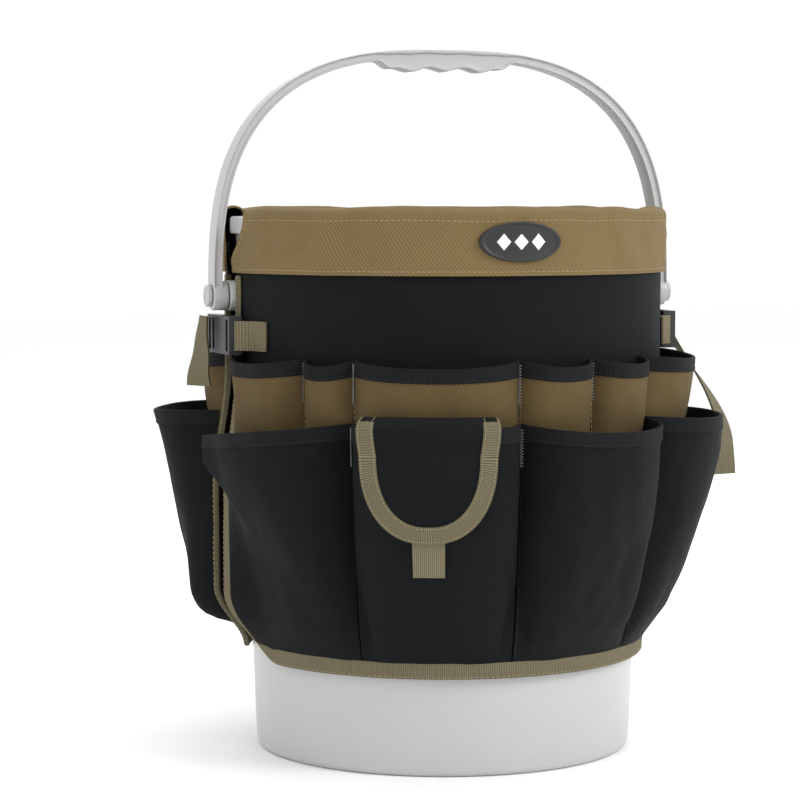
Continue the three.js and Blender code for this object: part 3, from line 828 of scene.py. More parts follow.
@dataclass
class Bail:
    """The bail handle: a channelled band with an eye at each end and a waved grip."""

    finishes: Finishes
    ear_z: float = 316
    half_width: float = 167
    rise: float = 169
    squareness: float = 2.8
    thickness: float = 6.2
    depth: float = 17
    eye_radius: float = 10
    eye_inner: float = 156.6
    eye_outer: float = 167
    grip_half: float = 50
    grip_extra: float = 7.4
    waves: int = 4
    steps: int = 240

    def edge(self, t: float, inset: float) -> Vector:
        """A point of the outer edge in the plane of the bail, moved inwards.

        Args:
            t: A share of the way from the ear at -X to the ear at +X.
            inset: How far in from the outer edge.

        Returns:
            The point's X and Z.
        """
        turn = math.pi * (1 - t)
        power = 2 / self.squareness
        c, s = math.cos(turn), math.sin(turn)
        x = math.copysign(abs(c) ** power, c) * (self.half_width - inset)
        return Vector((x, self.ear_z + abs(s) ** power * (self.rise - inset)))

    def grip_drop(self, x: float) -> float:
        """How much deeper the band is at a place across its grip."""
        along = abs(x) / self.grip_half
        if along >= 1:
            return 0.0
        ramp = ease((1 - along) * 4.5)
        wave = math.cos(x / self.grip_half * math.pi * self.waves) * 1.5
        return ramp * (self.grip_extra + wave)

    def section(self) -> list[Vector]:
        """The band's section: a rounded box with a shallow channel in its front and its back.

        Returns:
            Points of inset share from 0 to 1 and depth in millimetres, going round.
        """
        half = self.depth / 2
        lip, floor, cut = 0.17, 0.83, 1.6
        corners = [
            (0, 0, 0),
            (0, half, 0.5),
            (lip, half, 0.12),
            (lip + 0.06, half - cut, 0.1),
            (floor - 0.06, half - cut, 0.1),
            (floor, half, 0.12),
            (1, half, 0.5),
            (1, -half, 0.5),
            (floor, -half, 0.12),
            (floor - 0.06, cut - half, 0.1),
            (lip + 0.06, cut - half, 0.1),
            (lip, -half, 0.12),
            (0, -half, 0.5),
            (0, 0, 0),
        ]
        scaled = [(x * self.thickness, y, r * (1 if r >= 0.5 else 4)) for x, y, r in corners]
        return [Vector((p.x / self.thickness, p.y)) for p in fillet(scaled, 3)]

    def build(self) -> None:
        """Builds the band with its eyes."""
        section = self.section()

        def place(u: float, v: float) -> Vector:
            p = section[round(v * (len(section) - 1))]
            outer = self.edge(u, 0)
            inner = self.edge(u, self.thickness)
            inner.y -= self.grip_drop(inner.x)
            at = outer.lerp(inner, p.x)
            return Vector((at.x, p.y, at.y))

        band = bend_grid("bail_band", (self.steps, len(section) - 1), place)
        merge_doubles(band, 1e-6)
        select_only(band)
        bpy.ops.object.mode_set(mode="EDIT")
        bpy.ops.mesh.select_all(action="SELECT")
        bpy.ops.mesh.fill_holes(sides=0)
        bpy.ops.mesh.normals_make_consistent(inside=False)
        bpy.ops.object.mode_set(mode="OBJECT")
        parts = [band] + [self.eye(side) for side in (-1, 1)]
        piece = join(parts, "bail")
        smooth(piece, 35)
        Dress(Body.BAIL, Slot.BAIL, self.finishes.bail, ("bail_handle",)).put_on(piece)

    def eye(self, side: int) -> bpy.types.Object:
        """A ring round the ear's pin.

        Args:
            side: -1 or 1.

        Returns:
            The ring, with no finish yet.
        """
        bore, edge = 4.8, 1.0
        corners = [
            (bore, self.eye_inner, 0),
            (self.eye_radius, self.eye_inner, edge),
            (self.eye_radius, self.eye_outer, edge),
            (bore + 0.6, self.eye_outer, edge),
            (bore, self.eye_inner, 0),
        ]
        outline = fillet(corners, 3)

        def place(u: float, v: float) -> Vector:
            p = outline[round(v * (len(outline) - 1))]
            turn = 2 * math.pi * u * side
            return Vector((side * p.y, -p.x * math.cos(turn), self.ear_z + p.x * math.sin(turn)))

        ring = bend_grid("eye", (48, len(outline) - 1), place)
        merge_doubles(ring, 1e-6)
        select_only(ring)
        bpy.ops.object.mode_set(mode="EDIT")
        bpy.ops.mesh.select_all(action="SELECT")
        bpy.ops.mesh.normals_make_consistent(inside=False)
        bpy.ops.object.mode_set(mode="OBJECT")
        return ring


# ---- Organizer halves ------------------------------------------------------------------------------


@dataclass(frozen=True)
class Pocket:
    """One pocket between two seams."""

    start: float
    end: float
    bulge: float
    squareness: float = 3.0
    fill: float = 1.8
    bottom: float = 77
    mouth: float = 235
    lift: float = 2.0
    base: float = 1.0
    creased: bool = False
    mouth_drop: float = 0.0
    pleat: float = 0.0
    sag: float = 2.0
    folds: float = 2.6
    seed: float = 0.0

    def width(self) -> float:
        """Its width between the seams, along the apron."""
        return math.radians(self.end - self.start) * 152

    def share(self, s: float, v: float) -> float:
        """How deep it is, as a share of its bulge.

        Args:
            s: A share of the way across it.
            v: A share of the way up it.

        Returns:
            The share.
        """
        square = lerp(8, self.squareness, ease(v / 0.5))
        across = 1 - abs(2 * s - 1) ** square
        if self.creased:
            crease = clamp(0.05 + (0.88 - v) * 0.95, 0.05, 0.5)
            past = (s - crease) / (1 - crease)
            face = 1 - max(past, 0) ** 5.5 + 0.3 * math.sin(math.pi * clamp(past))
            across = s / crease if s < crease else face
        return across * lerp(self.base, 1, v**1.5) * (1 - (1 - v) ** self.fill)


@dataclass
class Apron:
    """The backing cloth's hang, which every other piece is placed from."""

    reach: float = 85.2
    bottom: float = 71
    top: float = 352
    bottom_radius: float = 137
    top_radius: float = 150.7
    flare: float = 190
    cloth: float = 1.4
    corner: float = 34

    def radius(self, z: float) -> float:
        """The inner face's radius at a height."""
        t = clamp((z - self.bottom) / self.flare)
        return lerp(self.bottom_radius, self.top_radius, 1 - (1 - t) ** 2)

    def outer(self, z: float) -> float:
        """The outer face's radius at a height."""
        return self.radius(z) + self.cloth

    def edge_lift(self, angle: float, z: float) -> float:
        """How far the free side edge curls away from the pail.

        Args:
            angle: Degrees from the half's middle.
            z: The height.

        Returns:
            Millimetres.
        """
        near = ease((abs(angle) - 72) / (self.reach - 72))
        return (160 - self.radius(z)) * near * ease((266 - z) / 80) * ease((z - self.bottom) / 44)

    def corner_inset(self, z: float) -> float:
        """How far in from the side edge the rounded lower corner is, in millimetres."""
        below = clamp((self.bottom + self.corner - z) / self.corner)
        return self.corner * (1 - math.sqrt(1 - below * below))

    def half_reach(self, z: float) -> float:
        """The side edge's angle from the half's middle at a height."""
        return self.reach - math.degrees(self.corner_inset(z) / self.radius(z))


@dataclass
class Half:
    """One half of the organizer: backing, collar, liner, two rows of pockets, hems and edge tape."""

    name: str
    middle: float
    finishes: Finishes
    upper: list[Pocket]
    lower: list[Pocket]
    apron: Apron = field(default_factory=Apron)
    collar_outer: float = 154.1
    collar_inner: float = 138.8
    collar_bottom: float = 332
    collar_top: float = 375.6
    collar_tuck: float = 336
    seed: float = 1.0

    def dress(self, slot: Slot, material: bpy.types.Material, *nodes: str) -> Dress:
        """The dress of a piece of this half.

        Args:
            slot: Its material slot.
            material: Its finish.
            nodes: The CAD nodes that it stands for, without the half's name.

        Returns:
            The dress.
        """
        return Dress(Body.FIXED, slot, material, tuple(f"{self.name}_{n}" for n in nodes))

    def build(self) -> None:
        """Builds every piece of the half."""
        self.build_apron()
        self.build_collar()
        self.build_lining()
        self.build_binding()
        f = self.finishes
        for row, slot, cloth in (
            # The upper pockets get the tan cloth with painted shade.
            (self.upper, "upper", f.tan_cloth_painted_shade),
            (self.lower, "lower", f.black_cloth),
        ):
            kind = Slot.TAN_CLOTH if slot == "upper" else Slot.BLACK_CLOTH
            for number, pocket in enumerate(row, 1):
                node = f"{slot}_pocket_{number}"
                sew_sheet(
                    f"{self.name}_{node}_cloth",
                    (56, 44),
                    self.pocket_place(pocket),
                    1.0,
                    self.dress(kind, cloth, node),
                )
            self.build_hem(row, slot)
            self.build_bartacks(row, slot)

    def apron_place(self, u: float, v: float) -> Vector:
        """The apron's middle surface."""
        z = lerp(self.apron.bottom, self.apron.top, v)
        angle = (2 * u - 1) * self.apron.half_reach(z)
        radius = self.apron.radius(z) + 0.7 + self.apron.edge_lift(angle, z)
        soft = wrinkle(self.seed, angle * 2.6, z, 38, 1.6) * 0.9 * ease((self.apron.top - 18 - z) / 30)
        return polar(self.middle + angle, radius + max(soft, -0.4), z)

    def build_apron(self) -> None:
        """Builds the backing cloth."""
        sew_sheet(
            f"{self.name}_apron_cloth",
            (120, 56),
            self.apron_place,
            1.1,
            self.dress(Slot.BLACK_CLOTH, self.finishes.black_cloth, "apron"),
            Held.HUNG,
        )

    def collar_path(self, v: float) -> Vector:
        """The collar's section over the rim, as a radius and a height."""
        bend = (self.collar_outer - self.collar_inner) / 2
        rise = self.collar_top - bend * 0.62
        if v < 0.36:
            return Vector((self.collar_outer, lerp(self.collar_bottom, rise, v / 0.36)))
        if v > 0.64:
            return Vector((self.collar_inner, lerp(rise, self.collar_tuck, (v - 0.64) / 0.36)))
        turn = math.pi * (v - 0.36) / 0.28
        middle = self.collar_inner + bend
        return Vector((middle + bend * math.cos(turn), rise + bend * 0.62 * math.sin(turn)))

    def collar_place(self, u: float, v: float) -> Vector:
        """The collar's middle surface, lightly puckered along its seams."""
        p = self.collar_path(v)
        angle = (2 * u - 1) * lerp(86.6, 79.6, ease(v / 0.36))
        arc = angle * 2.67
        pucker = wrinkle(self.seed + 3, arc, p.y, 24, 1.5) * 3.4 + wrinkle(self.seed + 4, arc, p.y, 9) * 0.9
        wave = wrinkle(self.seed + 5, arc, 0, 46) * 2.6
        behind_badge = lerp(0.45, 1, ease((abs(arc) - 30) / 25))
        free = ease((p.y - self.collar_bottom) / 10) * behind_badge
        out = max(pucker, -0.6) * free
        inward = 1 if v < 0.5 else -1
        return polar(self.middle + angle, p.x + out * inward, p.y + wave * ease((v - 0.2) * 4) * ease((0.9 - v) * 4))

    def build_collar(self) -> None:
        """Builds the collar and its rows of stitches."""
        f = self.finishes
        sew_sheet(
            f"{self.name}_collar_cloth",
            (150, 60),
            self.collar_place,
            1.4,
            self.dress(Slot.TAN_CLOTH, f.tan_cloth, "collar"),
            Held.FOLDED,
        )
        rows = [along_sheet(self.collar_place, v, 0.75, 0.012, 0.988) for v in (0.025, 0.33)]
        rows += [up_sheet(self.collar_place, u, 0.75, 0.02, 0.36) for u in (0.012, 0.988)]
        sew_rows(
            f"{self.name}_collar_stitches", rows, Stitches(), self.dress(Slot.TAN_WEBBING, f.thread_tan)
        )

    def build_lining(self) -> None:
        """Builds the panel inside the pail and its pocket."""
        f = self.finishes
        pail = Pail(f)

        def radius(z: float) -> float:
            return min(pail.wall_radius(z) - pail.wall - 2.4, self.collar_inner - 1.6)

        def liner(u: float, v: float) -> Vector:
            z = lerp(205, 364, v)
            angle = (2 * u - 1) * self.apron.reach
            soft = abs(wrinkle(self.seed + 8, angle * 2.4, z, 30, 2)) * 1.4
            return polar(self.middle + angle, radius(z) - 0.6 - soft, z)

        def slack(u: float, v: float) -> Vector:
            z = lerp(212, 305, v)
            across = 1 - abs(2 * u - 1) ** 3
            depth = 12 * across * (1 - (1 - v) ** 2) + wrinkle(self.seed + 9, u * 200, z, 30) * across
            return polar(self.middle + (2 * u - 1) * 52, radius(z) - 3.4 - depth, z - 3 * across * v)

        liner_piece = f"{self.name}_liner_cloth"
        dress = self.dress(Slot.BLACK_CLOTH, f.black_cloth, "liner")
        sew_sheet(liner_piece, (90, 24), liner, 1.0, dress, Held.HUNG)
        dress = self.dress(Slot.BLACK_CLOTH, f.black_cloth, "inner_pocket")
        sew_sheet(f"{self.name}_inner_pocket_cloth", (60, 24), slack, 1.0, dress, Held.STRETCHED)

    def build_binding(self) -> None:
        """Builds the edge tape that runs down both sides and along the bottom."""
        apron = self.apron
        top, bottom, scale = self.collar_bottom - 2, apron.bottom - 3.4, 145.0
        edge = math.radians(apron.reach) * scale
        side = top - bottom - apron.corner
        turn_length = math.pi / 2 * apron.corner
        flat = 2 * (edge - apron.corner)
        total = 2 * side + 2 * turn_length + flat

        def outline(distance: float) -> tuple[float, float, float, float]:
            """The edge's arc and height, and the way in from it."""
            mirrored = distance > total / 2
            d = total - distance if mirrored else distance
            if d < side:
                arc, z, in_x, in_z = -edge, top - d, 1.0, 0.0
            elif d < side + turn_length:
                turn = (d - side) / apron.corner
                arc = -edge + apron.corner * (1 - math.cos(turn))
                z = bottom + apron.corner * (1 - math.sin(turn))
                in_x, in_z = math.cos(turn), math.sin(turn)
            else:
                arc, z, in_x, in_z = -edge + apron.corner + d - side - turn_length, bottom, 0.0, 1.0
            return (-arc, z, -in_x, in_z) if mirrored else (arc, z, in_x, in_z)

        section = fillet([(11.0, 1.9, 0), (0.3, 1.9, 1.0), (0.3, -1.2, 1.0), (8.0, -1.2, 0)], 4)

        def place(u: float, v: float) -> Vector:
            arc, z0, in_x, in_z = outline(u * total)
            p = section[round(v * (len(section) - 1))]
            width = p.x * (0.8 + 0.2 * ease((100 - z0) / 30)) - 0.6
            z = z0 + in_z * width
            angle = math.degrees((arc + in_x * width) / scale)
            soft = wrinkle(self.seed + 12, u * total, 0, 24) * 0.5
            radius = apron.radius(z) + 0.7 + apron.edge_lift(angle, z) + p.y + soft * (1 if p.y > 0 else 0.4)
            return polar(self.middle + angle, radius, z)

        def flipped(u: float, v: float) -> Vector:
            return place(u, 1 - v)

        f = self.finishes
        sew_sheet(
            f"{self.name}_edge_tape",
            (320, len(section) - 1),
            flipped,
            0.7,
            self.dress(Slot.TAN_WEBBING, f.tan_webbing, "binding"),
            Held.FOLDED,
        )

        def sewn(t: float) -> tuple[Vector, Vector]:
            point = place(t, 0.06)
            outward = Vector((point.x, point.y, 0)).normalized()
            return point + outward * 0.4, outward

        sew_rows(f"{self.name}_edge_tape_stitches", [sewn], Stitches(), self.dress(Slot.TAN_WEBBING, f.thread_tan))

    def pocket_place(self, pocket: Pocket) -> Place:
        """The middle surface of a pocket's wall.

        Args:
            pocket: The pocket.

        Returns:
            The surface.
        """

        def place(u: float, v: float) -> Vector:
            s = 0.5 - 0.5 * math.cos(math.pi * u)
            s = lerp(u, s, 0.6)
            across = 1 - (2 * s - 1) ** 2
            top = pocket.mouth - pocket.mouth_drop * (1 - s) ** 2
            z = lerp(pocket.bottom, top, v) - pocket.sag * across * v**3
            depth = pocket.bulge * pocket.share(s, v)
            x = s * pocket.width()
            folds = wrinkle(pocket.seed, x, z, 24, 3.0) + wrinkle(pocket.seed + 2, x, z, 11, 2.2) * 0.3
            drape = pocket.folds * folds * min(across * 2.2, 1) * min(1.0, depth / 9) * (1 - 0.6 * v**6)
            low = ease(v * 7) * (1 - ease((v - 0.12) / 0.36))
            tuck = pocket.pleat * low * math.exp(-(((abs(2 * s - 1) - 0.9) / 0.11) ** 2))
            angle = lerp(pocket.start + 0.25, pocket.end - 0.25, s)
            curl = self.apron.edge_lift(angle - self.middle, z)
            radius = self.apron.outer(z) + curl + pocket.lift * min(1, v * 6 + 0.2)
            return polar(angle, radius + max(depth + drape - tuck, 0), z)

        return place

    def build_hem(self, row: list[Pocket], word: str) -> None:
        """Folds the tape over the mouths of a row and stitches it down.

        Args:
            row: The pockets.
            word: The row's name.
        """
        tapes, rows = [], []
        area, width = 0.0, 0.0
        height = 9.5
        for pocket in row:
            surface = self.pocket_place(pocket)
            length = pocket.mouth - pocket.bottom
            section = fillet([(-height, 0.95, 0), (0.9, 0.95, 1.0), (0.9, -0.95, 1.0), (1 - height, -0.95, 0)], 3)

            def place(u: float, v: float, surface: Place = surface, length: float = length) -> Vector:
                p = section[round(v * (len(section) - 1))]
                at = min(1.0, 1 + p.x / length)
                normal = surface_normal(surface, u, at)
                over = max(p.x, 0)
                return surface(u, at) + normal * p.y + Vector((0, 0, over))

            tape = bend_grid("tape", (56, len(section) - 1), place)
            width += developed((56, len(section) - 1), place)[0]
            area += sum(polygon.area for polygon in tape.data.polygons)
            tapes.append(tape)
            rows.append(along_sheet(surface, 1 - (height - 1.6) / length, 1.3, 0.03, 0.97))
        piece = join(tapes, f"{self.name}_{word}_hem_tape")
        apply_modifier(piece, "SOLIDIFY", thickness=0.5 * MM, offset=0)
        smooth(piece, 60)
        f = self.finishes
        self.dress(Slot.BLACK_WEBBING, f.black_webbing, f"{word}_hem").put_on(piece)
        sew_rows(
            f"{self.name}_{word}_hem_stitches", rows, Stitches(2.4, 0.9, 0.5), self.dress(Slot.BLACK_WEBBING, f.thread_black)
        )

    def build_bartacks(self, row: list[Pocket], word: str) -> None:
        """Sews the close zigzag that locks each seam at the mouths, and the seam below it.

        Args:
            row: The pockets.
            word: The row's name.
        """
        f = self.finishes
        tacks, seams = [], []
        kind = Stitches(1.5, 0.1, 0.42, 0.4)
        for pocket in row[1:]:
            surface = self.pocket_place(pocket)
            bottom = 1 - 27 / (pocket.mouth - pocket.bottom)

            def zigzag(t: float, surface: Place = surface, low: float = bottom) -> tuple[Vector, Vector]:
                normal = surface_normal(surface, 0.02, 0.9)
                side = normal.cross(Vector((0, 0, 1))).normalized()
                sway = (abs((t * 13) % 1 - 0.5) - 0.25) * 4.5
                return surface(0.02, lerp(low, 0.99, t)) + normal * 1.8 + side * sway, normal

            tacks.append(kind.run(zigzag, 104))
            seams.append(up_sheet(surface, 0.015, 0.8, 0.03, bottom))
        self.dress(Slot.BLACK_WEBBING, f.thread_white).put_on(join(tacks, f"{self.name}_{word}_bartacks"))
        thread = f.thread_tan if word == "upper" else f.thread_black
        sew_rows(f"{self.name}_{word}_seams", seams, Stitches(), self.dress(Slot.BLACK_WEBBING, thread))


def front_rows() -> tuple[list[Pocket], list[Pocket]]:
    """The front half's pockets.

    Returns:
        The upper row and the lower row.
    """
    seams = (-82, -55, -41, 0, 20.5, 41, 82)
    depths = (18, 12, 21, 16, 16, 22)
    upper = [
        Pocket(a, b, d, 3.0, 1.8, 186, 276, 1.0, sag=4.0, folds=3.2, seed=20 + i)
        for i, (a, b, d) in enumerate(zip(seams, seams[1:], depths))
    ]
    lower = [
        Pocket(-82, -41, 26, 4, 1.4, lift=3.2, creased=True, mouth_drop=13, sag=3, seed=31),
        Pocket(-41, 0, 30, 6, 2.6, lift=3.2, pleat=9, sag=0, folds=1.6, seed=32),
        Pocket(0, 41, 36, 3.4, 1.8, lift=3.2, pleat=5, sag=5, folds=3.6, seed=33),
        Pocket(41, 82, 39, 3.4, 1.7, lift=3.2, sag=3, folds=3.6, seed=34),
    ]
    return upper, lower


def back_rows() -> tuple[list[Pocket], list[Pocket]]:
    """The back half's pockets.

    Returns:
        The upper row and the lower row.
    """
    starts = (98, 139, 180, 221)
    upper = [
        Pocket(a, a + 41, 16, 3.0, 1.8, 186, 276, 1.0, sag=4, folds=3.2, seed=50 + i) for i, a in enumerate(starts)
    ]
    lower = [
        Pocket(98, 139, 32, 3.4, 1.8, lift=3.2, sag=3, seed=60),
        Pocket(139, 180, 26, 3.2, 1.8, lift=3.2, sag=3, seed=61),
        Pocket(180, 221, 26, 3.2, 1.8, lift=3.2, sag=3, seed=62),
        Pocket(221, 262, 50, 4, 40, 86, lift=3.2, base=0.55, sag=2, seed=63),
    ]
    return upper, lower


# ---- Badge and flap --------------------------------------------------------------------------------


@dataclass
class Badge:
    """The oval patch on the collar, with a raised rim and three plain lozenges."""

    finishes: Finishes
    half_width: float = 28
    half_height: float = 13
    z: float = 354
    radius: float = 155.3

    def at(self, x: float, y: float, off: float) -> Vector:
        """A point of the patch at shares x and y of its half sizes, off its back."""
        angle = math.degrees(x * self.half_width / self.radius)
        return polar(angle, self.radius + off, self.z + y * self.half_height)

    def build(self) -> None:
        """Builds the patch and its lozenges."""
        rings = [(0.001, 1.5), (0.4, 1.5), (0.84, 1.5), (0.88, 1.6), (0.9, 2.1), (0.96, 2.3), (0.99, 2.0), (1, 1.2), (1, 0)]

        def place(u: float, v: float) -> Vector:
            r, off = rings[len(rings) - 1 - round(v * (len(rings) - 1))]
            turn = 2 * math.pi * u
            return self.at(r * math.cos(turn), -r * math.sin(turn), off)

        patch = bend_grid("badge_patch", (96, len(rings) - 1), place)
        merge_doubles(patch, 5e-5)
        select_only(patch)
        bpy.ops.object.mode_set(mode="EDIT")
        bpy.ops.mesh.select_all(action="SELECT")
        bpy.ops.mesh.fill_holes(sides=0)
        bpy.ops.mesh.normals_make_consistent(inside=False)
        bpy.ops.object.mode_set(mode="OBJECT")
        smooth(patch, 50)
        Dress(Body.FIXED, Slot.BADGE, self.finishes.badge, ("badge",)).put_on(patch)
        marks = [self.lozenge(x) for x in (-0.42, 0.0, 0.42)]
        mark = join(marks, "badge_lozenges")
        smooth(mark, 30)
        Dress(Body.FIXED, Slot.BADGE, self.finishes.badge_mark).put_on(mark)

    def lozenge(self, x: float) -> bpy.types.Object:
        """A small raised lozenge.

        Args:
            x: Its place across the patch, as a share of the half width.

        Returns:
            The lozenge, with no finish yet.
        """

        def place(u: float, v: float) -> Vector:
            a, b = 2 * u - 1, 2 * v - 1
            dx, dy = (a + b) / 2, (b - a) / 2
            edge = min(1.0, (1 - max(abs(a), abs(b))) * 8)
            return self.at(x + dx * 0.17, dy * 0.42, 1.45 + 0.5 * edge)

        return bend_grid("lozenge", (10, 10), place)


@dataclass
class Flap:
    """The flap over the middle lower pocket, with its trim, tab and touch fastener."""

    finishes: Finishes
    half: Half
    pocket: Pocket
    middle: float = -21.7
    hinge_z: float = 242
    top_radius: float = 177.2
    half_width: float = 45.5
    drop: float = 87
    trim: float = 11
    off_face: float = 5.6

    def face(self, z: float) -> float:
        """The radius of the pocket's face behind the flap, at a height."""
        p = self.pocket
        v = clamp((z - p.bottom) / (p.mouth - p.bottom))
        return self.half.apron.outer(z) + 3.7 + p.bulge * (1 - (1 - v) ** p.fill)

    def at(self, arc: float, down: float, off: float) -> Vector:
        """A point of the closed flap.

        Args:
            arc: Millimetres from its middle.
            down: Millimetres from its top seam, along it.
            off: Millimetres off the pocket's face.

        Returns:
            The point.
        """
        front = self.face(self.hinge_z - 20) + off
        shoulder = front - self.top_radius
        reach = clamp(down / (shoulder + 2))
        radius = lerp(self.top_radius, front, math.sin(reach * math.pi / 2))
        dropped = down - (shoulder + 2) * 0.45 * (1 - (1 - reach) ** 2)
        z = self.hinge_z - max(dropped, 0)
        if reach >= 1:
            radius = self.face(z) + off
        return polar(self.middle + math.degrees(arc / 186), radius, z)

    def outline(self, t: float, inset: float) -> tuple[float, float]:
        """The flap's U-shaped edge.

        Args:
            t: A share of the way round from the top left to the top right.
            inset: How far in from the edge.

        Returns:
            The arc from the middle and the distance down.
        """
        rounding = 56.0
        side = self.drop - rounding
        curve = 130.0
        total = 2 * side + curve
        d = t * total
        if d < side:
            return -self.half_width + inset + 2.5 * (d / side) ** 2, d
        if d > total - side:
            e = total - d
            return self.half_width - inset - 2.5 * (e / side) ** 2, e
        turn = math.pi * (d - side) / curve
        power = 2 / 2.35
        c, s = math.cos(turn), math.sin(turn)
        x = -math.copysign(abs(c) ** power, c) * (self.half_width - 2.5 - inset)
        return x, side + s**power * (rounding - inset)

    def build(self) -> None:
        """Builds the flap's pieces."""
        f = self.finishes

        def panel(u: float, v: float) -> Vector:
            t = lerp(0.0, 0.5, 1 - v)
            x, down = self.outline(t, 0.6)
            soft = wrinkle(71, x * u * 30, down, 30) * 0.4
            return self.at(x * (1 - 2 * u), down, self.off_face + soft)

        dress = Dress(Body.FLAP, Slot.BLACK_CLOTH, f.black_cloth, ("flap_panel",))
        sew_sheet("flap_cloth", (48, 60), panel, 1.2, dress, Held.HUNG)

        def tape(u: float, v: float) -> Vector:
            x, down = self.outline(u, self.trim * v - 0.4)
            edge = 0.35 * (1 - (2 * v - 1) ** 4)
            return self.at(x, max(down, 0.3), self.off_face + 1.0 + edge)

        dress = Dress(Body.FLAP, Slot.TAN_WEBBING, f.tan_webbing, ("flap_trim",))
        sew_sheet("flap_edge_tape", (150, 10), tape, 0.8, dress, Held.STRETCHED)
        rows = [along_sheet(tape, v, 0.55, 0.005, 0.995) for v in (0.12, 0.88)]
        sew_rows("flap_stitches", rows, Stitches(2.0, 0.8, 0.45), Dress(Body.FLAP, Slot.TAN_WEBBING, f.thread_tan))

        def patch(half_width: float, bottom: float, top: float, off: float) -> Place:
            def place(u: float, v: float) -> Vector:
                z = lerp(bottom, top, v)
                arc = (2 * u - 1) * half_width
                return polar(self.middle + math.degrees(arc / 186), self.face(z) + off, z)

            return place

        tab = patch(10.8, 139.6, 172, 3.9)
        dress = Dress(Body.FLAP, Slot.TAN_WEBBING, f.tan_basket, ("flap_tab",))
        sew_sheet("flap_pull_tab", (16, 24), tab, 1.4, dress, Held.HUNG)
        hook = patch(18, 178, 200, 3.8)
        dress = Dress(Body.FLAP, Slot.BLACK_WEBBING, f.hook_tape, ("flap_hook_patch",))
        sew_sheet("flap_hook_tape", (20, 14), hook, 1.2, dress, Held.STRETCHED)
        loop = patch(20, 172, 206, 1.9)
        dress = Dress(Body.FIXED, Slot.BLACK_WEBBING, f.hook_tape, ("pocket_loop_patch",))
        sew_sheet("pocket_loop_tape", (20, 18), loop, 1.0, dress, Held.STRETCHED)


# ---- Side straps -----------------------------------------------------------------------------------


@dataclass
class SideStrap:
    """The strap, buckle and loose end at one side, worked out at +X and mirrored for -X."""

    finishes: Finishes
    side: int
    drop: float
    swing: float
    turn: float
    angle: float = 88
    radius: float = 159.4
    z: float = 290
    half_width: float = 10
    length: float = 54
    height: float = 26
    thickness: float = 9

    @property
    def word(self) -> str:
        """The side's name."""
        return "right" if self.side > 0 else "left"

    @property
    def prong(self) -> Body:
        """The body that slides out of the buckle."""
        return Body.PRONG_RIGHT if self.side > 0 else Body.PRONG_LEFT

    def on_buckle(self, along: float, outward: float, up: float = 0.0) -> Vector:
        """A point in the buckle's own frame, on the +X side."""
        turn = math.radians(self.angle)
        tangent = Vector((math.cos(turn), math.sin(turn), 0))
        out = Vector((math.sin(turn), -math.cos(turn), 0))
        return out * (self.radius + outward) + tangent * along + Vector((0, 0, self.z + up))

    def flip(self, place: Place) -> Place:
        """A surface mirrored to this strap's side, with its outside still outside."""
        if self.side > 0:
            return place

        def mirrored(u: float, v: float) -> Vector:
            p = place(1 - u, v)
            return Vector((-p.x, p.y, p.z))

        return mirrored

    def edge_strap(self, route: Sequence[Vector]) -> Place:
        """A strap standing on edge along a plan route.

        Args:
            route: Points in plan, in order.

        Returns:
            Its middle surface, on this side.
        """

        def place(u: float, v: float) -> Vector:
            at = u * (len(route) - 1)
            i = min(int(at), len(route) - 2)
            t = at - i
            p0, p3 = route[max(i - 1, 0)], route[min(i + 2, len(route) - 1)]
            p1, p2 = route[i], route[i + 1]
            point = (
                p1 * 2 + (p2 - p0) * t + (p0 * 2 - p1 * 5 + p2 * 4 - p3) * t**2 + (p1 * 3 - p0 - p2 * 3 + p3) * t**3
            ) / 2
            return Vector((point.x, point.y, self.z + (2 * v - 1) * self.half_width))

        return self.flip(place)

    def build(self) -> None:
        """Builds the side's pieces."""
        f = self.finishes
        apron = Apron()
        end = self.length / 2

        def on_apron(angle: float, lift: float = 0.0) -> Vector:
            return polar(angle, apron.outer(self.z) + 1.25 + lift, 0)

        def plan(p: Vector) -> Vector:
            return Vector((p.x, p.y, 0))

        front = [on_apron(a) for a in (69, 71, 73, 75)]
        front += [plan(self.on_buckle(-end - 1, -1)), plan(self.on_buckle(-end + 4.5, 3.2))]
        back = [plan(self.on_buckle(end - 5, 3.0)), plan(self.on_buckle(end + 1, 0)), plan(self.on_buckle(end + 5, -1))]
        back += [on_apron(102, 1.6), on_apron(105), on_apron(109), on_apron(113)]
        tan = f.tan_basket
        dress = Dress(Body.FIXED, Slot.TAN_WEBBING, tan, (f"strap_front_{self.word}",))
        sew_sheet(f"front_strap_{self.word}", (40, 12), self.edge_strap(front), 1.2, dress)
        dress = Dress(self.prong, Slot.TAN_WEBBING, tan, (f"strap_back_{self.word}",))
        sew_sheet(f"back_strap_{self.word}", (50, 12), self.edge_strap(back), 1.2, dress)

        def tail(u: float, v: float) -> Vector:
            fall = 1 - v
            radius = 169.5 + self.swing * math.sin(min(fall * 1.25, 1) * math.pi / 2) ** 1.5
            spin = math.radians(self.turn * fall**1.3)
            across = (2 * u - 1) * self.half_width
            ripple = math.sin(fall * 9) * 1.2 * fall
            outward = across * math.sin(spin) + ripple * math.cos(spin)
            along = across * math.cos(spin)
            return Vector((radius + outward, 11 + along, self.z + 12 - self.drop * fall))

        dress = Dress(self.prong, Slot.TAN_WEBBING, f.tan_webbing, (f"strap_tail_{self.word}",))
        sew_sheet(f"loose_strap_{self.word}", (14, 60), self.flip(tail), 1.3, dress, Held.HUNG)
        for node, body in (("buckle_socket", Body.FIXED), ("buckle_prong", self.prong)):
            cad = bpy.data.objects.get(f"{node}_{self.word}")
            if cad is not None and cad.data.materials:
                cad.data.materials[0] = f.buckle
            elif cad is not None:
                cad.data.materials.append(f.buckle)
            LOG.info("%s_%s rides on %s", node, self.word, body.value)


# ---- Studio ----------------------------------------------------------------------------------------


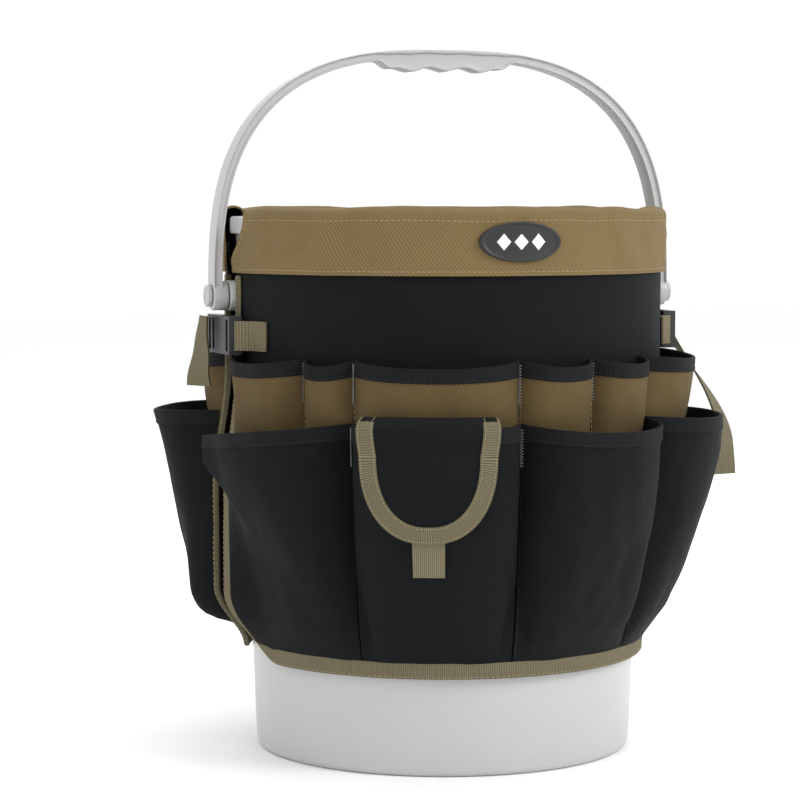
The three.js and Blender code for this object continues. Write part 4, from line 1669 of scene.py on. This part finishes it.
@dataclass
class Studio:
    """The floor, the lights and the camera."""

    azimuth: float = -18
    distance: float = 1900
    eye_height: float = 379
    aim_height: float = 241
    aim_left: float = 30
    lens: float = 122

    def build(self) -> None:
        """Sets up the studio."""
        bpy.context.scene.view_settings.view_transform = "Standard"
        self.place_camera()
        self.lay_floor()
        self.hang_lights()

    def place_camera(self) -> None:
        """Places the camera level with the rim, to the left of the front."""
        turn = math.radians(self.azimuth)
        away = Vector((math.sin(turn), -math.cos(turn), 0))
        right = Vector((math.cos(turn), math.sin(turn), 0))
        data = bpy.data.cameras.new("camera")
        data.lens = self.lens
        data.clip_end = 50
        camera = bpy.data.objects.new("camera", data)
        bpy.context.scene.collection.objects.link(camera)
        aim = Vector((0, 0, self.aim_height)) - right * self.aim_left
        place = away * self.distance + Vector((0, 0, self.eye_height)) - right * self.aim_left
        camera.location = place * MM
        camera.rotation_mode = "QUATERNION"
        camera.rotation_quaternion = (aim - place).to_track_quat("-Z", "Y")
        bpy.context.scene.camera = camera

    def lay_floor(self) -> None:
        """Lays a pale floor."""
        bpy.ops.object.select_all(action="DESELECT")
        bpy.ops.mesh.primitive_plane_add(size=14, location=(0, 0, 0))
        floor = bpy.context.active_object
        floor.name = "floor"
        desk = NodeDesk("floor")
        desk.links.new(
            desk.mix(desk.noise(3, 2), (0.93, 0.93, 0.93), (0.95, 0.95, 0.95)), desk.shader.inputs["Base Color"]
        )
        desk.shader.inputs["Roughness"].default_value = 0.9
        floor.data.materials.append(desk.material)

    def hang_lights(self) -> None:
        """Hangs soft lights on both sides and a bright sky."""
        for name, place, power, size in (
            ("key", (1.6, -1.6, 1.6), 34, 1.0),
            ("fill", (-1.9, -1.2, 1.0), 7, 1.6),
            ("top", (0.1, 0.2, 2.2), 14, 1.4),
            ("rim", (0.6, 1.9, 1.2), 8, 1.4),
        ):
            data = bpy.data.lights.new(name, "AREA")
            data.energy = power
            data.size = size
            light = bpy.data.objects.new(name, data)
            bpy.context.scene.collection.objects.link(light)
            light.location = place
            light.rotation_mode = "QUATERNION"
            light.rotation_quaternion = (Vector((0, 0, 0.25)) - Vector(place)).to_track_quat("-Z", "Y")
        world = bpy.data.worlds.new("sky")
        world.use_nodes = True
        background = world.node_tree.nodes["Background"]
        background.inputs["Color"].default_value = (1, 1, 1, 1)
        background.inputs["Strength"].default_value = 1.04
        bpy.context.scene.world = world


def main() -> None:
    """Builds everything in order."""
    logging.basicConfig(level=logging.INFO, format="%(message)s")
    Studio().build()
    finishes = Finishes()
    Pail(finishes).build()
    Bail(finishes).build()
    upper, lower = front_rows()
    front = Half("front", 0, finishes, upper, lower)
    front.build()
    upper, lower = back_rows()
    Half("back", 180, finishes, upper, lower, seed=2.0).build()
    Badge(finishes).build()
    Flap(finishes, front, front.lower[1]).build()
    SideStrap(finishes, 1, 121, 52, 80).build()
    SideStrap(finishes, -1, 48, 3, 40).build()


if __name__ == "__main__":
    main()
